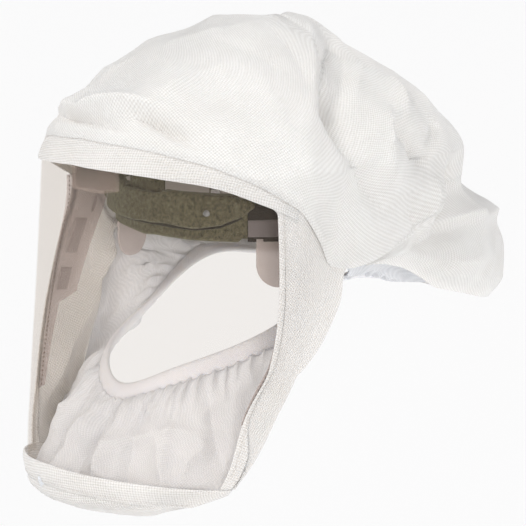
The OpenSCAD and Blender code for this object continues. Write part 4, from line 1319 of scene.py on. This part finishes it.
def crown_straps():
    front = strap_sweep("crown_tape", leg_and_arch(20, 97), 0, 1.0, 10, STRAP)
    put(front, CROWN, "strap_webbing", "crown_strap")
    for name, side in SIDES:
        half = strap_sweep(f"cross_tape_{name}", leg_and_arch(30, 90), side, 0.8, 10, STRAP)
        pad = strap_sweep(f"cross_felt_{name}", np.linspace(30, 76, 60), side, 3.2, 13, OLIVE, 1.5, (0.5, 14),
                          -3.4, 8)
        put(half, CROWN, "strap_webbing", "cross_strap")
        put(pad, CROWN, "olive_felt", f"cross_pad_{name}")
    pad = strap_sweep("crown_felt", np.linspace(40, 97, 80), 0, 4.0, 15, OLIVE, 1.9, (0.6, 14), -4.3, 8)
    put(pad, CROWN, "olive_felt", "crown_pad")
    end = strap_sweep("crown_tape_end", np.linspace(-20.5, -10, 14), 0, 2.6, 11, OLIVE, 1.2, (0.2, 10), -0.7)
    put(end, CROWN, "olive_felt", "crown_strap")


def flip_x(piece):
    for vertex in piece.data.vertices:
        vertex.co.x = -vertex.co.x
    fix_normals(piece)


# ---------------------------------------------------------------- air duct
def duct_piece():
    """Flat sleeve under the crown from the brow to the inlet, welded into lanes along its length."""
    half, thick, depth, lanes, weld = 24, 7.4, 7.6, 3, 0.6
    w_front = np.linspace(36, APEX_W - 0.5, 70)
    w_rear = np.linspace(APEX_W - 0.5, -23, 90)[1:]
    a = np.concatenate([np.zeros(len(w_front)), np.full(len(w_rear), 180.0)])
    w = np.concatenate([w_front, w_rear])
    off, across = np.array(split_sides(rounded(-thick / 2, thick / 2, -half, half, 2.4, 5), 10)).T
    lane = weld * (np.cos(across * math.pi * lanes / half) - 1) * (np.abs(off) > thick / 2 - 0.5)
    off = off + np.sign(off) * lane - depth - thick / 2
    rings = [middle + off[:, None] * out + across[:, None] * [1, 0, 0]
             for middle, out in zip(hood(a, w), hood_out(a, w))]
    piece = tube("air_duct_sleeve", rings, None, DUCT)
    put(piece, HOOD, "duct_film", "air_duct", "duct_spacer")


# ---------------------------------------------------------------- CAD pieces that stay
def dress(names, material):
    for name in names:
        data = nodes[name].data
        data.materials.clear()
        data.materials.append(material)
        for polygon in data.polygons:
            polygon.material_index = 0


def dress_cad():
    dress(["front_headband"], OLIVE)
    dress(["crown_keepers"], BAND)
    dress(["pad_rivets"], RIVET)
    dress([f"side_bracket_{name}" for name, side in SIDES], BRACKET)
    dress([f"temple_tab_{name}" for name, side in SIDES], TAB)
    dress(["air_outlet", "outlet_louvres"], OUTLET)
    dress(["inlet_plenum", "inlet_socket", "inlet_clamp_ring"], INLET)
    dress(["inlet_gasket"], GASKET)


# ---------------------------------------------------------------- stage
def make_stage():
    white = Nodes("floor").finish(Base_Color=(0.99, 0.99, 0.988, 1), Roughness=0.9, Specular_IOR_Level=0.1)
    size, level = 40.0, CHIN_Z * MM - 0.5
    mesh = bpy.data.meshes.new("floor")
    corners = [(x * size, y * size, level) for x, y in ((-1, -1), (1, -1), (1, 1), (-1, 1))]
    mesh.from_pydata(corners, [], [(0, 1, 2, 3)])
    floor = bpy.data.objects.new("floor", mesh)
    floor.data.materials.append(white)
    bpy.context.scene.collection.objects.link(floor)
    world = bpy.data.worlds.new("studio")
    bpy.context.scene.world = world
    world.use_nodes = True
    sky = world.node_tree.nodes["Background"]
    sky.inputs["Color"].default_value = (0.98, 0.985, 1.0, 1)
    sky.inputs["Strength"].default_value = 0.58

    def lamp(name, azimuth, elevation, strength, spread, color):
        data = bpy.data.lights.new(name, "SUN")
        data.energy = strength
        data.angle = math.radians(spread)
        data.color = color
        light = bpy.data.objects.new(name, data)
        light.rotation_euler = towards(azimuth, elevation).to_track_quat("Z", "Y").to_euler()
        bpy.context.scene.collection.objects.link(light)

    lamp("key", -4, 48, 1.36, 18, (1.0, 0.99, 0.975))
    lamp("front", 64, 9, 1.1, 22, (1.0, 0.99, 0.98))
    lamp("fill", 118, 18, 0.4, 50, (0.98, 0.985, 1.0))
    bpy.context.scene.view_settings.view_transform = "Standard"


make_stage()
crown_cloth()
rear_cloth()
for name, side in SIDES:
    side_cloth(name, side)
    binding_cloth(name, side)
    stay_piece(name, side)
brow_cloth()
chin_cloth()
frame_stitching()
visor_piece()
seal_cloth("face_seal_cloth", "face_seal", 0, NOTCH - 0.05, 620, 70, 7, 51)
seal_cloth("nape_seal_cloth", "nape_seal", HEM_END, NOTCH - 0.04, 420, 60, -6, 77)
neck_elastic()
comfort_pad()
headband_tapes()
crown_straps()
duct_piece()
dress_cad()
